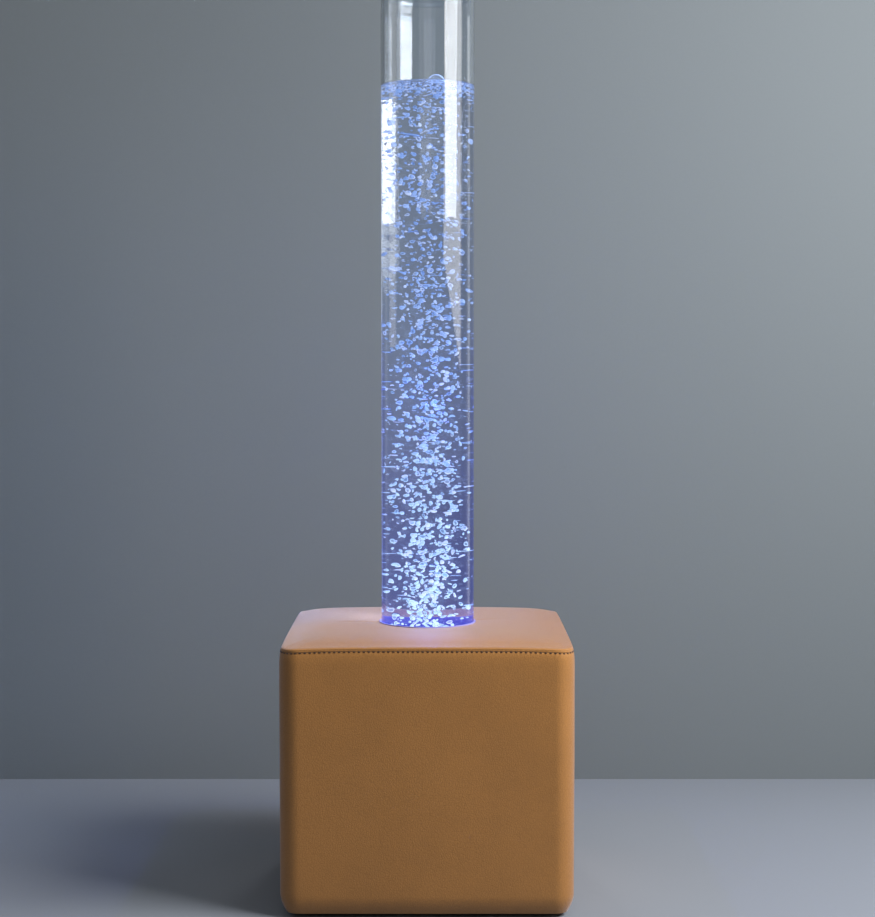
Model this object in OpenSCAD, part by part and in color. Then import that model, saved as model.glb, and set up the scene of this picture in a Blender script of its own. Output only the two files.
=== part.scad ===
// Bubble tube floor lamp: a clear water column standing in a leather-covered plinth.
// The origin is on the floor, under the tube's axis. +Z is up and the front looks along -Y.

/* [Plinth] */
// Width of the upholstered plinth, side to side
plinth_w = 450; // [430:1:520]
// Depth of the plinth, front to back
plinth_d = 450; // [430:1:520]
// Height of the plinth's crown over the floor
plinth_h = 426; // [405:1:460]
// Radius of the plinth's upright corners
corner_r = 30; // [22:1:40]

/* [Upholstery] */
// Thickness of the leather
leather_t = 1.4; // [0.8:0.1:2]
// Foam on the sides of the box
foam_side_t = 23.6; // [18:0.1:28]
// Foam under the top panel's crown
foam_top_t = 24.6; // [20:0.1:30]
// Width of the rolled edge around the top
roll_w = 20; // [14:1:26]
// Depth of the seam below the crown
seam_drop = 16; // [12:0.5:18]
// Rise of the crown above the rolled edge
crown_h = 2.5; // [0.5:0.5:5]
// How far the seam is pulled down at the corners
corner_pull = 4; // [0:0.5:5]
// How far the seam draws the sides in
pinch = 2.5; // [0:0.5:4]
// How far the leather rolls in at the foot of the sides
tuck = 9; // [5:0.5:12]
// Width of the hem that is turned under the base
hem_w = 28; // [20:1:34]
// Dip of the leather at the hole for the tube
hole_dip = 1.5; // [0.5:0.1:2.5]

/* [Box] */
// Thickness of the plywood sides and top
board_t = 15; // [12:1:18]
// Thickness of the base board
base_t = 18; // [15:1:22]
// Thickness of the shelf that carries the tube
shelf_t = 18; // [15:1:22]
// Width of the square corner posts
post_w = 25; // [18:1:30]
// Width of the battens under the shelf
batten_w = 18; // [15:1:24]
// Diameter of a floor glide
glide_d = 35; // [28:1:40]
// Height of a floor glide
glide_h = 8; // [5:1:12]
// Distance of the glides' centres from the plinth's outside
glide_inset = 62; // [56:1:75]

/* [Tube] */
// Outside diameter of the acrylic tube
tube_d = 150; // [140:1:156]
// Wall of the tube
tube_wall = 5; // [4:0.5:6]
// Length of the tube
tube_len = 1200; // [1000:5:1500]
// Length of the tube below the plinth's crown
tube_sunk = 194; // [180:1:205]
// Air space between the water and the tube's rim
air_gap = 136; // [90:1:200]
// Thickness of the plug bonded into the tube's foot
plug_t = 12; // [10:0.5:15]
// Wall of the white liner around the tube's foot
liner_wall = 2.5; // [1.5:0.5:4]

/* [Lid] */
// Thickness of the lid
lid_t = 4; // [3:0.5:6]
// How far the lid reaches past the tube
lid_lip = 2; // [1:0.5:4]
// Depth of the ring that centres the lid
spigot_h = 8; // [5:0.5:12]
// Wall of that ring
spigot_wall = 3; // [2:0.5:4]
// Clearance of that ring in the tube
lid_clear = 0.5; // [0.3:0.1:1]
// Radius of a vent hole in the lid
vent_r = 2; // [1.5:0.1:3]

/* [Tube socket] */
// Radius of the socket's flange
flange_r = 100; // [94:1:108]
// Thickness of the socket's flange
flange_t = 8; // [6:0.5:10]
// Thickness of the ledge under the tube
ledge_t = 10; // [8.5:0.5:14]
// Height of the socket over the shelf
socket_h = 44; // [36:1:50]
// Wall of the socket's cup
cup_wall = 6; // [4:0.5:7]
// Radius of the hole through the ledge
ledge_r = 58; // [57:0.5:62]
// Thickness of the rubber ring under the tube
gasket_t = 4; // [3:0.5:6]
// Number of gussets and screws on the flange
gussets = 6; // [4:1:8]

/* [Light] */
// Radius of the heat sink's flange
sink_r = 72; // [68:1:76]
// Thickness of the heat sink's flange
sink_t = 6; // [4:0.5:8]
// Radius of the boss that carries the light board
boss_r = 56; // [52:0.5:56.5]
// Height of the cooling fins
fin_h = 18; // [12:1:22]
// Thickness of a cooling fin
fin_t = 2.5; // [1.5:0.5:4]
// Spacing of the cooling fins
fin_pitch = 10; // [9:0.5:14]
// Radius of the hole for the water port
core_r = 18; // [17:0.5:20]
// Radius of the light board
led_board_r = 52; // [48:0.5:52]
// Thickness of the light board
led_board_t = 1.6; // [1:0.1:2.4]
// Number of lamps on the board
led_count = 12; // [6:1:16]
// Width of one lamp
led_w = 5; // [4:0.5:7]
// Height of one lamp
led_h = 2; // [1.5:0.1:2.5]
// Radius of the ring of lamps
led_ring_r = 37; // [34:1:42]

/* [Water port] */
// Radius of the port's flange over the plug
port_flange_r = 14; // [12:0.5:18]
// Thickness of that flange
port_flange_t = 3.5; // [2.5:0.5:5]
// Radius of the port's thread
port_thread_r = 8; // [7:0.5:9]
// Radius of the port's stem
port_stem_r = 6; // [5:0.5:6.5]
// Radius of the port's bore
port_bore_r = 3.5; // [2.5:0.5:4]
// Thickness of the rubber washer under the flange
washer_t = 1.5; // [1:0.5:2.5]
// Height of the port's nut
port_nut_h = 6; // [5:0.5:8]
// Width of the port's nut across its flats
port_nut_af = 22; // [20:1:24]
// Radius of the air diffuser
diffuser_r = 32; // [26:1:40]
// Height of the air diffuser
diffuser_h = 14; // [11:1:18]
// Wall of the air diffuser
diffuser_wall = 3; // [2:0.5:4]
// Radius of one nozzle
nozzle_r = 1; // [0.6:0.1:1.4]

/* [Bubbles] */
// Number of levels of bubbles in the water
bubble_levels = 80; // [40:1:90]
// Number of bubbles at one level
bubbles_each = 4; // [2:1:5]
// Radius of the largest bubble
bubble_r = 4; // [3:0.1:4.4]
// Radius of the smallest bubble
bubble_small_r = 2.4; // [1.5:0.1:3]
// Radius of the plume of bubbles over the diffuser
plume_r = 26; // [20:1:32]
// Radius of the plume at the water's surface
plume_top_r = 56; // [40:1:58]
// Radius that the plume leaves free round its axis
plume_core_r = 8; // [7:0.5:10]

/* [Air and water lines] */
// Outside radius of a hose
hose_r = 6; // [5.5:0.1:6.5]
// Radius of the spigots that a hose slides over
spigot_r = 4; // [3.5:0.1:4.4]
// Radius of the tee's upright arm
tee_r = 9; // [8:0.5:10]
// Radius of the tee's side arms
tee_arm_r = 7; // [6:0.5:7.5]
// Distance of the tee's side arms below the cooling fins
tee_drop = 24; // [22:1:32]
// Reach of the tee's side arms, shoulder to axis
tee_reach = 14; // [12:1:18]
// Length of a hose spigot
spigot_len = 14; // [11:1:16]
// Radius of the check valve's body
check_r = 10; // [9:0.5:12]
// Length of the check valve's body
check_len = 34; // [28:1:42]

/* [Air pump] */
// Width of the pump
pump_w = 150; // [140:1:170]
// Depth of the pump
pump_d = 94; // [88:1:104]
// Height of the pump's cover
pump_h = 62; // [58:1:68]
// Thickness of the pump's base tray
pump_base_t = 5; // [4:0.5:7]
// Wall of the pump's cover
pump_wall = 3; // [2:0.5:4]
// Height of a pump foot
pump_foot_h = 8; // [6:1:10]
// Distance of the pump from the front board
pump_margin = 32; // [24:1:38]
// Place of the pump's outlet along the pump
outlet_x = -45; // [-50:1:-40]
// Swing of the pump's arm each way, in degrees
arm_swing = 1.2; // [0.6:0.1:1.5]

/* [Controller] */
// Width of the light controller
ctrl_w = 104; // [90:1:110]
// Depth of the light controller
ctrl_d = 62; // [54:1:68]
// Height of the light controller
ctrl_h = 28; // [24:1:34]
// Wall of the controller's case
ctrl_wall = 2.5; // [2:0.5:3]
// Distance of the controller from the side board
ctrl_side_gap = 29; // [24:1:34]
// Distance of the controller from the back board
ctrl_back_gap = 92; // [86:1:98]

/* [Connection panel] */
// Width of the recess in the back
dish_w = 168; // [166:1:174]
// Height of the recess in the back
dish_h = 98; // [96:1:104]
// Height of the recess's centre over the floor
dish_z = 95; // [92:1:100]
// Wall of the recess
dish_wall = 2.5; // [2:0.5:3]
// Thickness of the recess's back plate
plate_t = 3; // [2.5:0.5:4]
// Width of the rim around the recess
rim_w = 5; // [4:0.5:7]
// Thickness of the rim
rim_t = 2; // [1.5:0.5:3]
// How far the rim sits below the leather's face
rim_sunk = 1; // [0.5:0.5:2]

/* [Controls] */
// Place of the power inlet along the panel
jack_x = -58; // [-62:1:-54]
// Place of the power switch along the panel
switch_x = -22; // [-24:1:-20]
// Place of the colour button along the panel
button_x = 10; // [8:1:14]
// Place of the drain valve along the panel
valve_x = 50; // [46:1:52]
// Distance of the drain knob above and of the spout below the panel's centre
valve_rise = 22; // [20:1:23]
// Width of the rocker
rocker_w = 16.6; // [15:0.1:17]
// Length of the rocker
rocker_len = 27; // [24:1:28]
// Tilt of the rocker each way, in degrees
rocker_tilt = 8; // [5:1:9]
// Radius of the colour button
button_r = 5.5; // [4.5:0.1:6]
// How far the colour button stands out
button_out = 3; // [2:0.5:4]
// Radius of the drain spout
spout_r = 5; // [4.5:0.1:6]
// Radius of the valve's plug
plug_r = 7; // [6.5:0.1:8]
// Radius of the valve's stem
stem_r = 3.5; // [3:0.1:4]

/* [Hidden] */
$fn = 64;

// Clearances: turned pieces that run or slide, bonded or seated pieces, and cut-outs
run = 0.05;
seat = 0.1;
cut = 0.2;
// Reach of a cutting shape past the face that it opens
over = 1;

// Colours
leather = "#a67c54";
foam = "#e8dfb8";
plywood = "#c9a877";
acrylic = [0.86, 0.93, 1, 0.35];
steel = "#b9bcc0";
brass = "#c9a24a";
black = "#26272a";
white = "#eceff2";
rubber = "#303236";
water_blue = [0.4, 0.6, 0.95, 0.4];

// Levels, from the floor up
base_z = glide_h;
deck_z = base_z + base_t;
seam_z = plinth_h - seam_drop;
edge_z = plinth_h - crown_h;
board_z = plinth_h - leather_t - foam_top_t;
board_under = board_z - board_t;
tube_z0 = plinth_h - tube_sunk;
tube_z1 = tube_z0 + tube_len;
water_z = tube_z1 - air_gap;
shelf_z = tube_z0 - gasket_t - ledge_t;
shelf_under = shelf_z - shelf_t;
plug_z = tube_z0 + plug_t;

// Plan sizes of the box
half_w = plinth_w / 2;
half_d = plinth_d / 2;
box_w = plinth_w - 2 * (leather_t + foam_side_t);
box_d = plinth_d - 2 * (leather_t + foam_side_t);
inner_w = box_w - 2 * board_t;
inner_d = box_d - 2 * board_t;
post_x = inner_w / 2 - post_w / 2;
post_y = inner_d / 2 - post_w / 2;

// Tube and what surrounds it
tube_r = tube_d / 2;
bore_r = tube_r - tube_wall;
cup_r = tube_r + seat;
liner_in = tube_r + 4 * seat;
liner_r = liner_in + liner_wall;
// The leather's hole is a polygon, so its corners stand further out
side_steps = 8;
hole_facet = atan((half_w - corner_r) / side_steps / half_w);
hole_r = (liner_r + cut) / cos(hole_facet);
shelf_hole_r = boss_r + 4;

// Screws: shank radius, head radius and length of each kind
wood_screw = [2, 4, 20];
panel_screw = [1.75, 3.5, 13];
glide_at = [for (x = [-1, 1], y = [-1, 1]) [x * (half_w - glide_inset), y * (half_d - glide_inset)]];
flange_screw_r = (flange_r + cup_r + cup_wall) / 2;
flange_screw_at = [for (i = [0:gussets - 1]) flange_screw_r * [cos(i * 360 / gussets), sin(i * 360 / gussets)]];
sink_screw_r = (sink_r + shelf_hole_r) / 2;
sink_screw_at = [for (i = [0:3]) sink_screw_r * [cos(i * 90 + 45), sin(i * 90 + 45)]];

// Top of the port's flange, where the diffuser stands
sump_z = plug_z + washer_t + port_flange_t;

// Light engine
sink_z = shelf_under - sink_t;
tee_z = sink_z - fin_h - tee_drop;
boss_z = tube_z0 - port_nut_h - 4;
wire_hole_y = 3 * fin_pitch;

// Connection panel, and what stands in it
dish_corner = 6;
rim_full_w = dish_w + 2 * rim_w;
rim_full_h = dish_h + 2 * rim_w;
rim_y = half_d - rim_sunk;
plate_y = box_d / 2 + plate_t;
plate_cut_w = dish_w - 32;
plate_cut_h = dish_h - 28;
knob_z = dish_z + valve_rise;
spout_z = dish_z - valve_rise;
// The valve's boss, from its cap at the back to its shoulder behind the plate
valve_pipe_r = 8;
valve_boss_r = plug_r + 4;
valve_y = inner_d / 2 - valve_pipe_r - 2;
boss_y0 = valve_y - valve_boss_r - 3;
boss_y1 = box_d / 2 - 2;
// Its inlet looks to the front, over the boss
inlet_z = knob_z + valve_boss_r + spigot_r + 1;
inlet_y = boss_y0 - 2;
nose_r = 7;
nose_y = plate_y + 5.5;
knob_y0 = nose_y + 0.5;
knob_y1 = rim_y - 3;

jack_z = dish_z - 10;
vent_slots = 8;
vent_pitch = 5;
vent_w = 2.5;
vent_h = 14;
jack_r = 6;
jack_back = plate_y - 20;
bezel_t = 2;
switch_depth = 22;
frame_w = rocker_w + 3.6;
frame_h = rocker_len + 4.4;
barrel_r = button_r + 1.5;
nut_t = 4;

// The rocker turns on two short pins in the frame's side walls
rocker_y = box_d / 2 + 0.5;
rocker_depth = 6;
pin_half = rocker_w / 2 + 1.2;

// Air pump
pump_z = deck_z + pump_foot_h;
pump_floor = pump_z + pump_base_t;
pump_top = pump_z + pump_base_t + pump_h;
pump_y = -inner_d / 2 + pump_margin + pump_d / 2;
pump_corner = 12;

// Arm's pivot, and the stack of magnet, coil and diaphragm beside it
pivot_x = 8;
pivot_y = pump_y + pump_d / 2 - 14;
arm_len = pump_d - 34;
arm_t = 3;
arm_travel = arm_len * sin(arm_swing);
pole_gap = arm_travel + 1.5;
magnet_t = 6;
pole_z0 = pump_floor + 10;
pole_h = 26;
pole_w = 6;
winding = 6;
arm_z0 = pole_z0 + 2;
arm_z1 = pole_z0 + pole_h + 2;
core_x1 = pivot_x - arm_t / 2 - magnet_t - pole_gap;
tip_y = pivot_y - arm_len;

// Controller
ctrl_x = -(inner_w / 2 - ctrl_side_gap - ctrl_w / 2);
ctrl_y = inner_d / 2 - ctrl_back_gap - ctrl_d / 2;
ctrl_top = deck_z + ctrl_h;
ctrl_corner = 4;

check_x = -(tee_reach + check_len);
// Runs of the hoses between the tips of the spigots that they slide over
pump_out = [outlet_x, pump_y + 4, pump_top];
check_pull = 70;
outlet_pull = 58;
drain_pull = 60;
air_run = let (a = [check_x - spigot_len, 0, tee_z], b = pump_out + [0, 0, spigot_len])
  [a, a - [check_pull, 0, 0], b + [0, 0, outlet_pull], b];
drain_run = let (a = [tee_reach + spigot_len, 0, tee_z], b = [valve_x, inlet_y - spigot_len, inlet_z])
  [a, a + [drain_pull, 0, 0], b - [0, drain_pull, 0], b];

// ---------------------------------------------------------------- small shapes

module at_each(places, z) {
  for (p = places) translate([p.x, p.y, z]) children();
}

// Countersunk screw with its head's face at the origin and its tip along -Z
module screw(kind, spare = 0) {
  translate([0, 0, -kind[2]]) cylinder(r = kind[0] + spare, h = kind[2] + spare);
  translate([0, 0, -(kind[1] - kind[0])])
    cylinder(r1 = kind[0] + spare, r2 = kind[1] + spare, h = kind[1] - kind[0] + spare);
}

module ring(outer, inner, z0, z1) {
  difference() {
    translate([0, 0, z0]) cylinder(r = outer, h = z1 - z0);
    translate([0, 0, z0 - over]) cylinder(r = inner, h = z1 - z0 + 2 * over);
  }
}

module hex(across, h) {
  cylinder(r = across / sqrt(3), h = h, $fn = 6);
}

// Box centred in X and Y, from z0 to z1
module slab(w, d, z0, z1) {
  translate([-w / 2, -d / 2, z0]) cube([w, d, z1 - z0]);
}

function dir(a) = [cos(a), sin(a)];

// Plate outline with round corners
function round_rect(w, h, r, steps = 4) = [for (k = [0:3])
  let (cx = (k == 0 || k == 3 ? 1 : -1) * (w / 2 - r), cy = (k < 2 ? 1 : -1) * (h / 2 - r))
    for (i = [0:steps]) [cx, cy] + r * dir(90 * k + 90 * i / steps)];

// Plate that stands across Y, from y0 to y1, with its centre at x, z
module upright_plate(w, h, r, x, z, y0, y1) {
  translate([x, y1, z]) rotate([90, 0, 0]) linear_extrude(y1 - y0) polygon(round_rect(w, h, r));
}

// Cylinder along Y, from y0 to y1
module along_y(r, x, z, y0, y1) {
  translate([x, y0, z]) rotate([-90, 0, 0]) cylinder(r = r, h = y1 - y0);
}

// Cylinder along X, from x0 to x1
module along_x(r, y, z, x0, x1) {
  translate([x0, y, z]) rotate([0, 90, 0]) cylinder(r = r, h = x1 - x0);
}

// ---------------------------------------------------------------- skins made of rings of points

function middle(ring) = [for (p = ring) 1] * ring / len(ring);

// Solid between rings of equally many points, each counter-clockwise about the way from ring to ring.
// A closed one goes round from the last ring to the first.
module ring_solid(rings, closed) {
  n = len(rings[0]);
  m = len(rings);
  last = closed ? m - 1 : m - 2;
  walls = [for (j = [0:last]) for (i = [0:n - 1])
    let (a = j * n + i, b = j * n + (i + 1) % n, c = (j + 1) % m * n + (i + 1) % n, d = (j + 1) % m * n + i)
      each [[a, c, b], [a, d, c]]];
  hubs = closed ? [] : [middle(rings[0]), middle(rings[m - 1])];
  ends = closed ? [] : [for (i = [0:n - 1]) let (j = (i + 1) % n)
    each [[m * n, i, j], [m * n + 1, (m - 1) * n + j, (m - 1) * n + i]]];
  polyhedron(concat([for (r = rings) each r], hubs), concat(walls, ends), convexity = 6);
}

// Solid of level rings that are listed downwards along its outside
module upholstered(rings, closed) {
  ring_solid([for (i = [len(rings) - 1:-1:0]) rings[i]], closed);
}

corner_steps = 5;
least_r = 2;

function corner_point(k, i, hx, hy, r) =
  [(k == 0 || k == 3 ? 1 : -1) * (hx - r), (k < 2 ? 1 : -1) * (hy - r)]
  + r * dir(90 * k + 90 * i / corner_steps);

// Outline of the plinth, d inside its sides, with the same columns of points at any d
function outline(d) =
  let (hx = half_w - d, hy = half_d - d, r = max(corner_r - d, least_r))
  [for (k = [0:3]) each concat(
    [for (i = [0:corner_steps]) corner_point(k, i, hx, hy, r)],
    let (a = corner_point(k, corner_steps, hx, hy, r), b = corner_point((k + 1) % 4, 0, hx, hy, r))
      [for (i = [1:side_steps - 1]) a + (b - a) * i / side_steps])];

// 0 along the sides, rising to 1 at the corners
function cornering(p) = pow(min(abs(p.x) / half_w, abs(p.y) / half_d), 4);

// Ring d inside the sides at height z, drawn down at the corners by a share of corner_pull
function side_ring(d, z, pull = 0) =
  [for (p = outline(d)) [p.x, p.y, z - pull * corner_pull * cornering(p)]];

// Ring on the crown: t is 0 at the tube's hole and 1 where the edge starts to roll
function crown_ring(t, r, depth) =
  [for (p = outline(roll_w)) let (q = r * p / norm(p), w = q + (p - q) * t)
    [w.x, w.y, plinth_h - crown_h * t * t - hole_dip * pow(1 - t, 8)
      - corner_pull * cornering(p) * pow(t, 3) - depth]];

crown_steps = [0, 0.06, 0.16, 0.4, 0.7, 1];
roll_angles = [30, 60, 90];

// Ring on the rolled edge, at an angle from level to upright, depth inside its face
function roll_ring(a, depth) = side_ring(
  pinch + (roll_w - pinch) * (1 - sin(a)) + depth * sin(a),
  edge_z - (edge_z - seam_z) * (1 - cos(a)) - depth * cos(a), 1);

// Depth below the seam at which its pinch dies away, and height of the rolled foot
pinch_depth = 7;
tuck_h = 28;

function side_inset(z) = pinch * exp(-(seam_z - z) / pinch_depth)
  + (z < base_z + tuck_h ? tuck * pow(1 - (z - base_z) / tuck_h, 2) : 0);
function side_pull(z) = max(0, 1 - (seam_z - z) / 40);

side_levels = [
  seam_z, seam_z - 4, seam_z - 12, seam_z - 40, base_z + 60,
  base_z + tuck_h, base_z + tuck_h * 0.6, base_z + tuck_h * 0.3, base_z
];

// ---------------------------------------------------------------- hoses and wires

function bezier(p, t) = pow(1 - t, 3) * p[0] + 3 * pow(1 - t, 2) * t * p[1]
  + 3 * (1 - t) * t * t * p[2] + pow(t, 3) * p[3];
function heading(p, t) = let (v = pow(1 - t, 2) * (p[1] - p[0]) + 2 * (1 - t) * t * (p[2] - p[1])
  + t * t * (p[3] - p[2])) v / norm(v);

// Circle of points square to the run; across is a direction that the run never takes
function hoop(p, t, r, sides, across, lead = 0) =
  let (v = heading(p, t), u = cross(v, across) / norm(cross(v, across)), w = cross(v, u), c = bezier(p, t) + lead * v)
  [for (i = [0:sides - 1]) c + r * cos(360 * i / sides) * u + r * sin(360 * i / sides) * w];

// Circles along a run, with a straight lead at each end
function hoops(p, r, sides, steps, across, lead) = concat(
  [hoop(p, 0, r, sides, across, -lead)],
  [for (i = [0:steps]) hoop(p, i / steps, r, sides, across)],
  [hoop(p, 1, r, sides, across, lead)]);

hose_sides = 12;
hose_steps = 12;
// A hose's flats clear the round spigot inside it
hose_bore = (spigot_r + run) / cos(180 / hose_sides);

module hose(p, across) {
  outer = hoops(p, hose_r, hose_sides, hose_steps, across, spigot_len);
  inner = hoops(p, hose_bore, hose_sides, hose_steps, across, spigot_len);
  ring_solid(concat(outer, [for (i = [len(inner) - 1:-1:0]) inner[i]]), true);
}

wire_r = 2;
wire_lead = 3;

module wire(p, across) {
  ring_solid(hoops(p, wire_r, 8, 8, across, wire_lead), false);
}

// ---------------------------------------------------------------- box

module glide_screw_set(spare) {
  at_each(glide_at, 0) translate([0, 0, glide_h / 2]) mirror([0, 0, 1]) screw(wood_screw, spare);
}

module glides() {
  chamfer = 1.5;
  color(black) difference() {
    at_each(glide_at, 0) rotate_extrude() polygon([
      [0, 0], [glide_d / 2 - chamfer, 0], [glide_d / 2, chamfer], [glide_d / 2, glide_h], [0, glide_h]]);
    glide_screw_set(run);
    at_each(glide_at, -over) cylinder(r = wood_screw[1] + run, h = glide_h / 2 + over);
  }
}

module frame_screws() {
  color(steel) {
    glide_screw_set(0);
    at_each(flange_screw_at, shelf_z + flange_t) screw(wood_screw);
  }
}

module base_panel() {
  color(plywood) difference() {
    slab(box_w, box_d, base_z, deck_z);
    glide_screw_set(run);
  }
}

// Upright board across the front or back, with its outer face at y
module cross_board(y) {
  translate([0, y, 0]) slab(box_w, board_t, deck_z, board_under);
}

module front_panel() {
  color(plywood) cross_board(-(box_d - board_t) / 2);
}

module back_panel() {
  color(plywood) difference() {
    cross_board((box_d - board_t) / 2);
    upright_plate(plate_cut_w, plate_cut_h, 6, 0, dish_z, inner_d / 2 - over, box_d / 2 + over);
    panel_screw_set(run);
  }
}

module side_panels() {
  color(plywood) for (s = [-1, 1])
    translate([s * (box_w - board_t) / 2, 0, 0]) slab(board_t, inner_d, deck_z, board_under);
}

module top_panel() {
  color(plywood) difference() {
    slab(box_w, box_d, board_under, board_z);
    translate([0, 0, board_under - over]) cylinder(r = liner_r + seat, h = board_t + 2 * over);
  }
}

module corner_posts() {
  color(plywood) for (x = [-1, 1], y = [-1, 1])
    translate([x * post_x, y * post_y, 0]) slab(post_w, post_w, deck_z, board_under);
}

module shelf() {
  color(plywood) difference() {
    slab(inner_w, inner_d, shelf_under, shelf_z);
    for (x = [-1, 1], y = [-1, 1])
      translate([x * post_x, y * post_y, 0])
        slab(post_w, post_w, shelf_under - over, shelf_z + over);
    translate([0, 0, shelf_under - over]) cylinder(r = shelf_hole_r, h = shelf_t + 2 * over);
    at_each(flange_screw_at, shelf_z + flange_t) screw(wood_screw, run);
    sink_screw_set(run);
  }
}

module shelf_battens() {
  run_x = inner_w - 2 * post_w;
  run_y = inner_d - 2 * post_w;
  color(plywood) for (s = [-1, 1]) {
    translate([0, s * (inner_d - batten_w) / 2, 0])
      slab(run_x, batten_w, shelf_under - batten_w, shelf_under);
    translate([s * (inner_w - batten_w) / 2, 0, 0])
      slab(batten_w, run_y, shelf_under - batten_w, shelf_under);
  }
}

// ---------------------------------------------------------------- upholstery

// Space that the connection panel's rim takes out of the leather and the face of the foam
module rim_space() {
  upright_plate(rim_full_w + 2 * cut, rim_full_h + 2 * cut, dish_corner + rim_w + cut, 0, dish_z,
    rim_y - rim_t - cut, half_d + over);
}

// Space that its recess takes out of the foam
module dish_space() {
  upright_plate(dish_w + 2 * cut, dish_h + 2 * cut, dish_corner + cut, 0, dish_z, box_d / 2 - over, rim_y);
}

foam_levels = concat([board_z], [for (z = side_levels) if (z < board_z - over) z]);

// Depth of the foam's face below the leather's
foam_in = leather_t + 0.4;

module foam_blank() {
  upholstered([for (z = foam_levels) side_ring(side_inset(z) + foam_in, z)], false);
}

// Foam on the front (s = -1) or back (s = 1), with the upright corners
module foam_slab(s) {
  intersection() {
    foam_blank();
    translate([0, s * (half_d + box_d / 2) / 2, 0])
      slab(plinth_w, half_d - box_d / 2, base_z - over, board_z + over);
  }
}

module foam_front() {
  color(foam) foam_slab(-1);
}

module foam_back() {
  color(foam) difference() {
    foam_slab(1);
    rim_space();
    dish_space();
  }
}

module foam_sides() {
  color(foam) for (s = [-1, 1]) intersection() {
    foam_blank();
    translate([s * (half_w + box_w / 2) / 2, 0, 0])
      slab(half_w - box_w / 2, box_d, base_z - over, board_z + over);
  }
}

module foam_top() {
  foot = [for (p = outline(roll_w)) let (q = hole_r * p / norm(p)) [q.x, q.y, board_z]];
  color(foam) upholstered(concat(
    [foot],
    [for (t = crown_steps) crown_ring(t, hole_r, foam_in)],
    [for (a = roll_angles) roll_ring(a, foam_in)],
    [side_ring(side_inset(board_z) + foam_in, board_z)]), true);
}

module cover_top() {
  faces = len(crown_steps) - 1;
  rolls = len(roll_angles) - 1;
  color(leather) upholstered(concat(
    [for (t = crown_steps) crown_ring(t, hole_r, 0)],
    [for (a = roll_angles) roll_ring(a, 0)],
    [for (i = [rolls:-1:0]) roll_ring(roll_angles[i], leather_t)],
    [for (i = [faces:-1:0]) crown_ring(crown_steps[i], hole_r, leather_t)]), true);
}

module cover_band() {
  lowest = len(side_levels) - 1;
  hem = tuck + hem_w;
  color(leather) difference() {
    upholstered(concat(
      [for (z = side_levels) side_ring(side_inset(z), z, side_pull(z))],
      [for (a = [45, 90]) side_ring(tuck + leather_t * (1 - cos(a)), base_z - leather_t * sin(a))],
      [side_ring(hem, base_z - leather_t), side_ring(hem, base_z)],
      [for (i = [lowest:-1:0]) let (z = side_levels[i])
        side_ring(side_inset(z) + leather_t, z, side_pull(z))]), true);
    rim_space();
  }
}

// ---------------------------------------------------------------- tube and its seat

module socket_ring() {
  fillet = 3;
  gusset_t = 4;
  color(white) difference() {
    union() {
      translate([0, 0, shelf_z]) rotate_extrude() polygon([
        [ledge_r, 0], [flange_r, 0], [flange_r, flange_t], [cup_r + cup_wall + fillet, flange_t],
        [cup_r + cup_wall, flange_t + fillet], [cup_r + cup_wall, socket_h], [cup_r, socket_h],
        [cup_r, ledge_t], [ledge_r, ledge_t]]);
      for (i = [0:gussets - 1]) rotate((i + 0.5) * 360 / gussets)
        translate([0, gusset_t / 2, shelf_z]) rotate([90, 0, 0]) linear_extrude(gusset_t) polygon([
          [cup_r + cup_wall / 2, flange_t / 2], [flange_r - fillet, flange_t / 2], [flange_r - fillet, flange_t],
          [cup_r + cup_wall, socket_h - fillet], [cup_r + cup_wall / 2, socket_h - fillet]]);
    }
    at_each(flange_screw_at, shelf_z + flange_t) screw(wood_screw, run);
  }
}

module tube_gasket() {
  color(rubber) ring(tube_r, ledge_r + 2, tube_z0 - gasket_t, tube_z0);
}

module tube() {
  color(acrylic) ring(tube_r, bore_r, tube_z0, tube_z1);
}

module tube_liner() {
  color(white) ring(liner_r, liner_in, shelf_z + socket_h, plinth_h);
}

module tube_plug() {
  color(acrylic) ring(bore_r - run, port_thread_r + seat, tube_z0, plug_z);
}

module water() {
  color(water_blue) difference() {
    translate([0, 0, plug_z]) cylinder(r = bore_r - run, h = water_z - plug_z);
    translate([0, 0, plug_z - over]) cylinder(r = port_flange_r + seat, h = sump_z - plug_z + over + seat);
    translate([0, 0, sump_z - seat]) cylinder(r = diffuser_r + seat, h = diffuser_h + 2 * seat);
    bubble_set(run);
  }
}

// Part of a number after its point, which scatters i * share evenly from 0 to 1
function part(x) = x - floor(x);

// Bubbles over the diffuser. Each level has its own turn, and each bubble its own radius and height
// within it, so that none meets another.
module bubble_set(spare) {
  z0 = sump_z + diffuser_h + bubble_r + 2;
  pitch = (water_z - bubble_r - 2 - z0) / (bubble_levels - 1);
  play = (pitch - 2 * bubble_r) / 2 - 2 * run;
  for (level = [0:bubble_levels - 1], j = [0:bubbles_each - 1]) {
    i = level * bubbles_each + j;
    r = plume_core_r + (plume_r + (plume_top_r - plume_r) * level / bubble_levels - plume_core_r) * part(i * sqrt(3));
    rotate(360 * (part(level * sqrt(2)) + j / bubbles_each))
      translate([r, 0, z0 + level * pitch + play * (2 * part(i * sqrt(5)) - 1)])
        sphere(r = bubble_small_r + (bubble_r - bubble_small_r) * part(i * sqrt(7)) + spare, $fn = 16);
  }
}

module bubbles() {
  color("#dff2ff") bubble_set(0);
}

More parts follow.
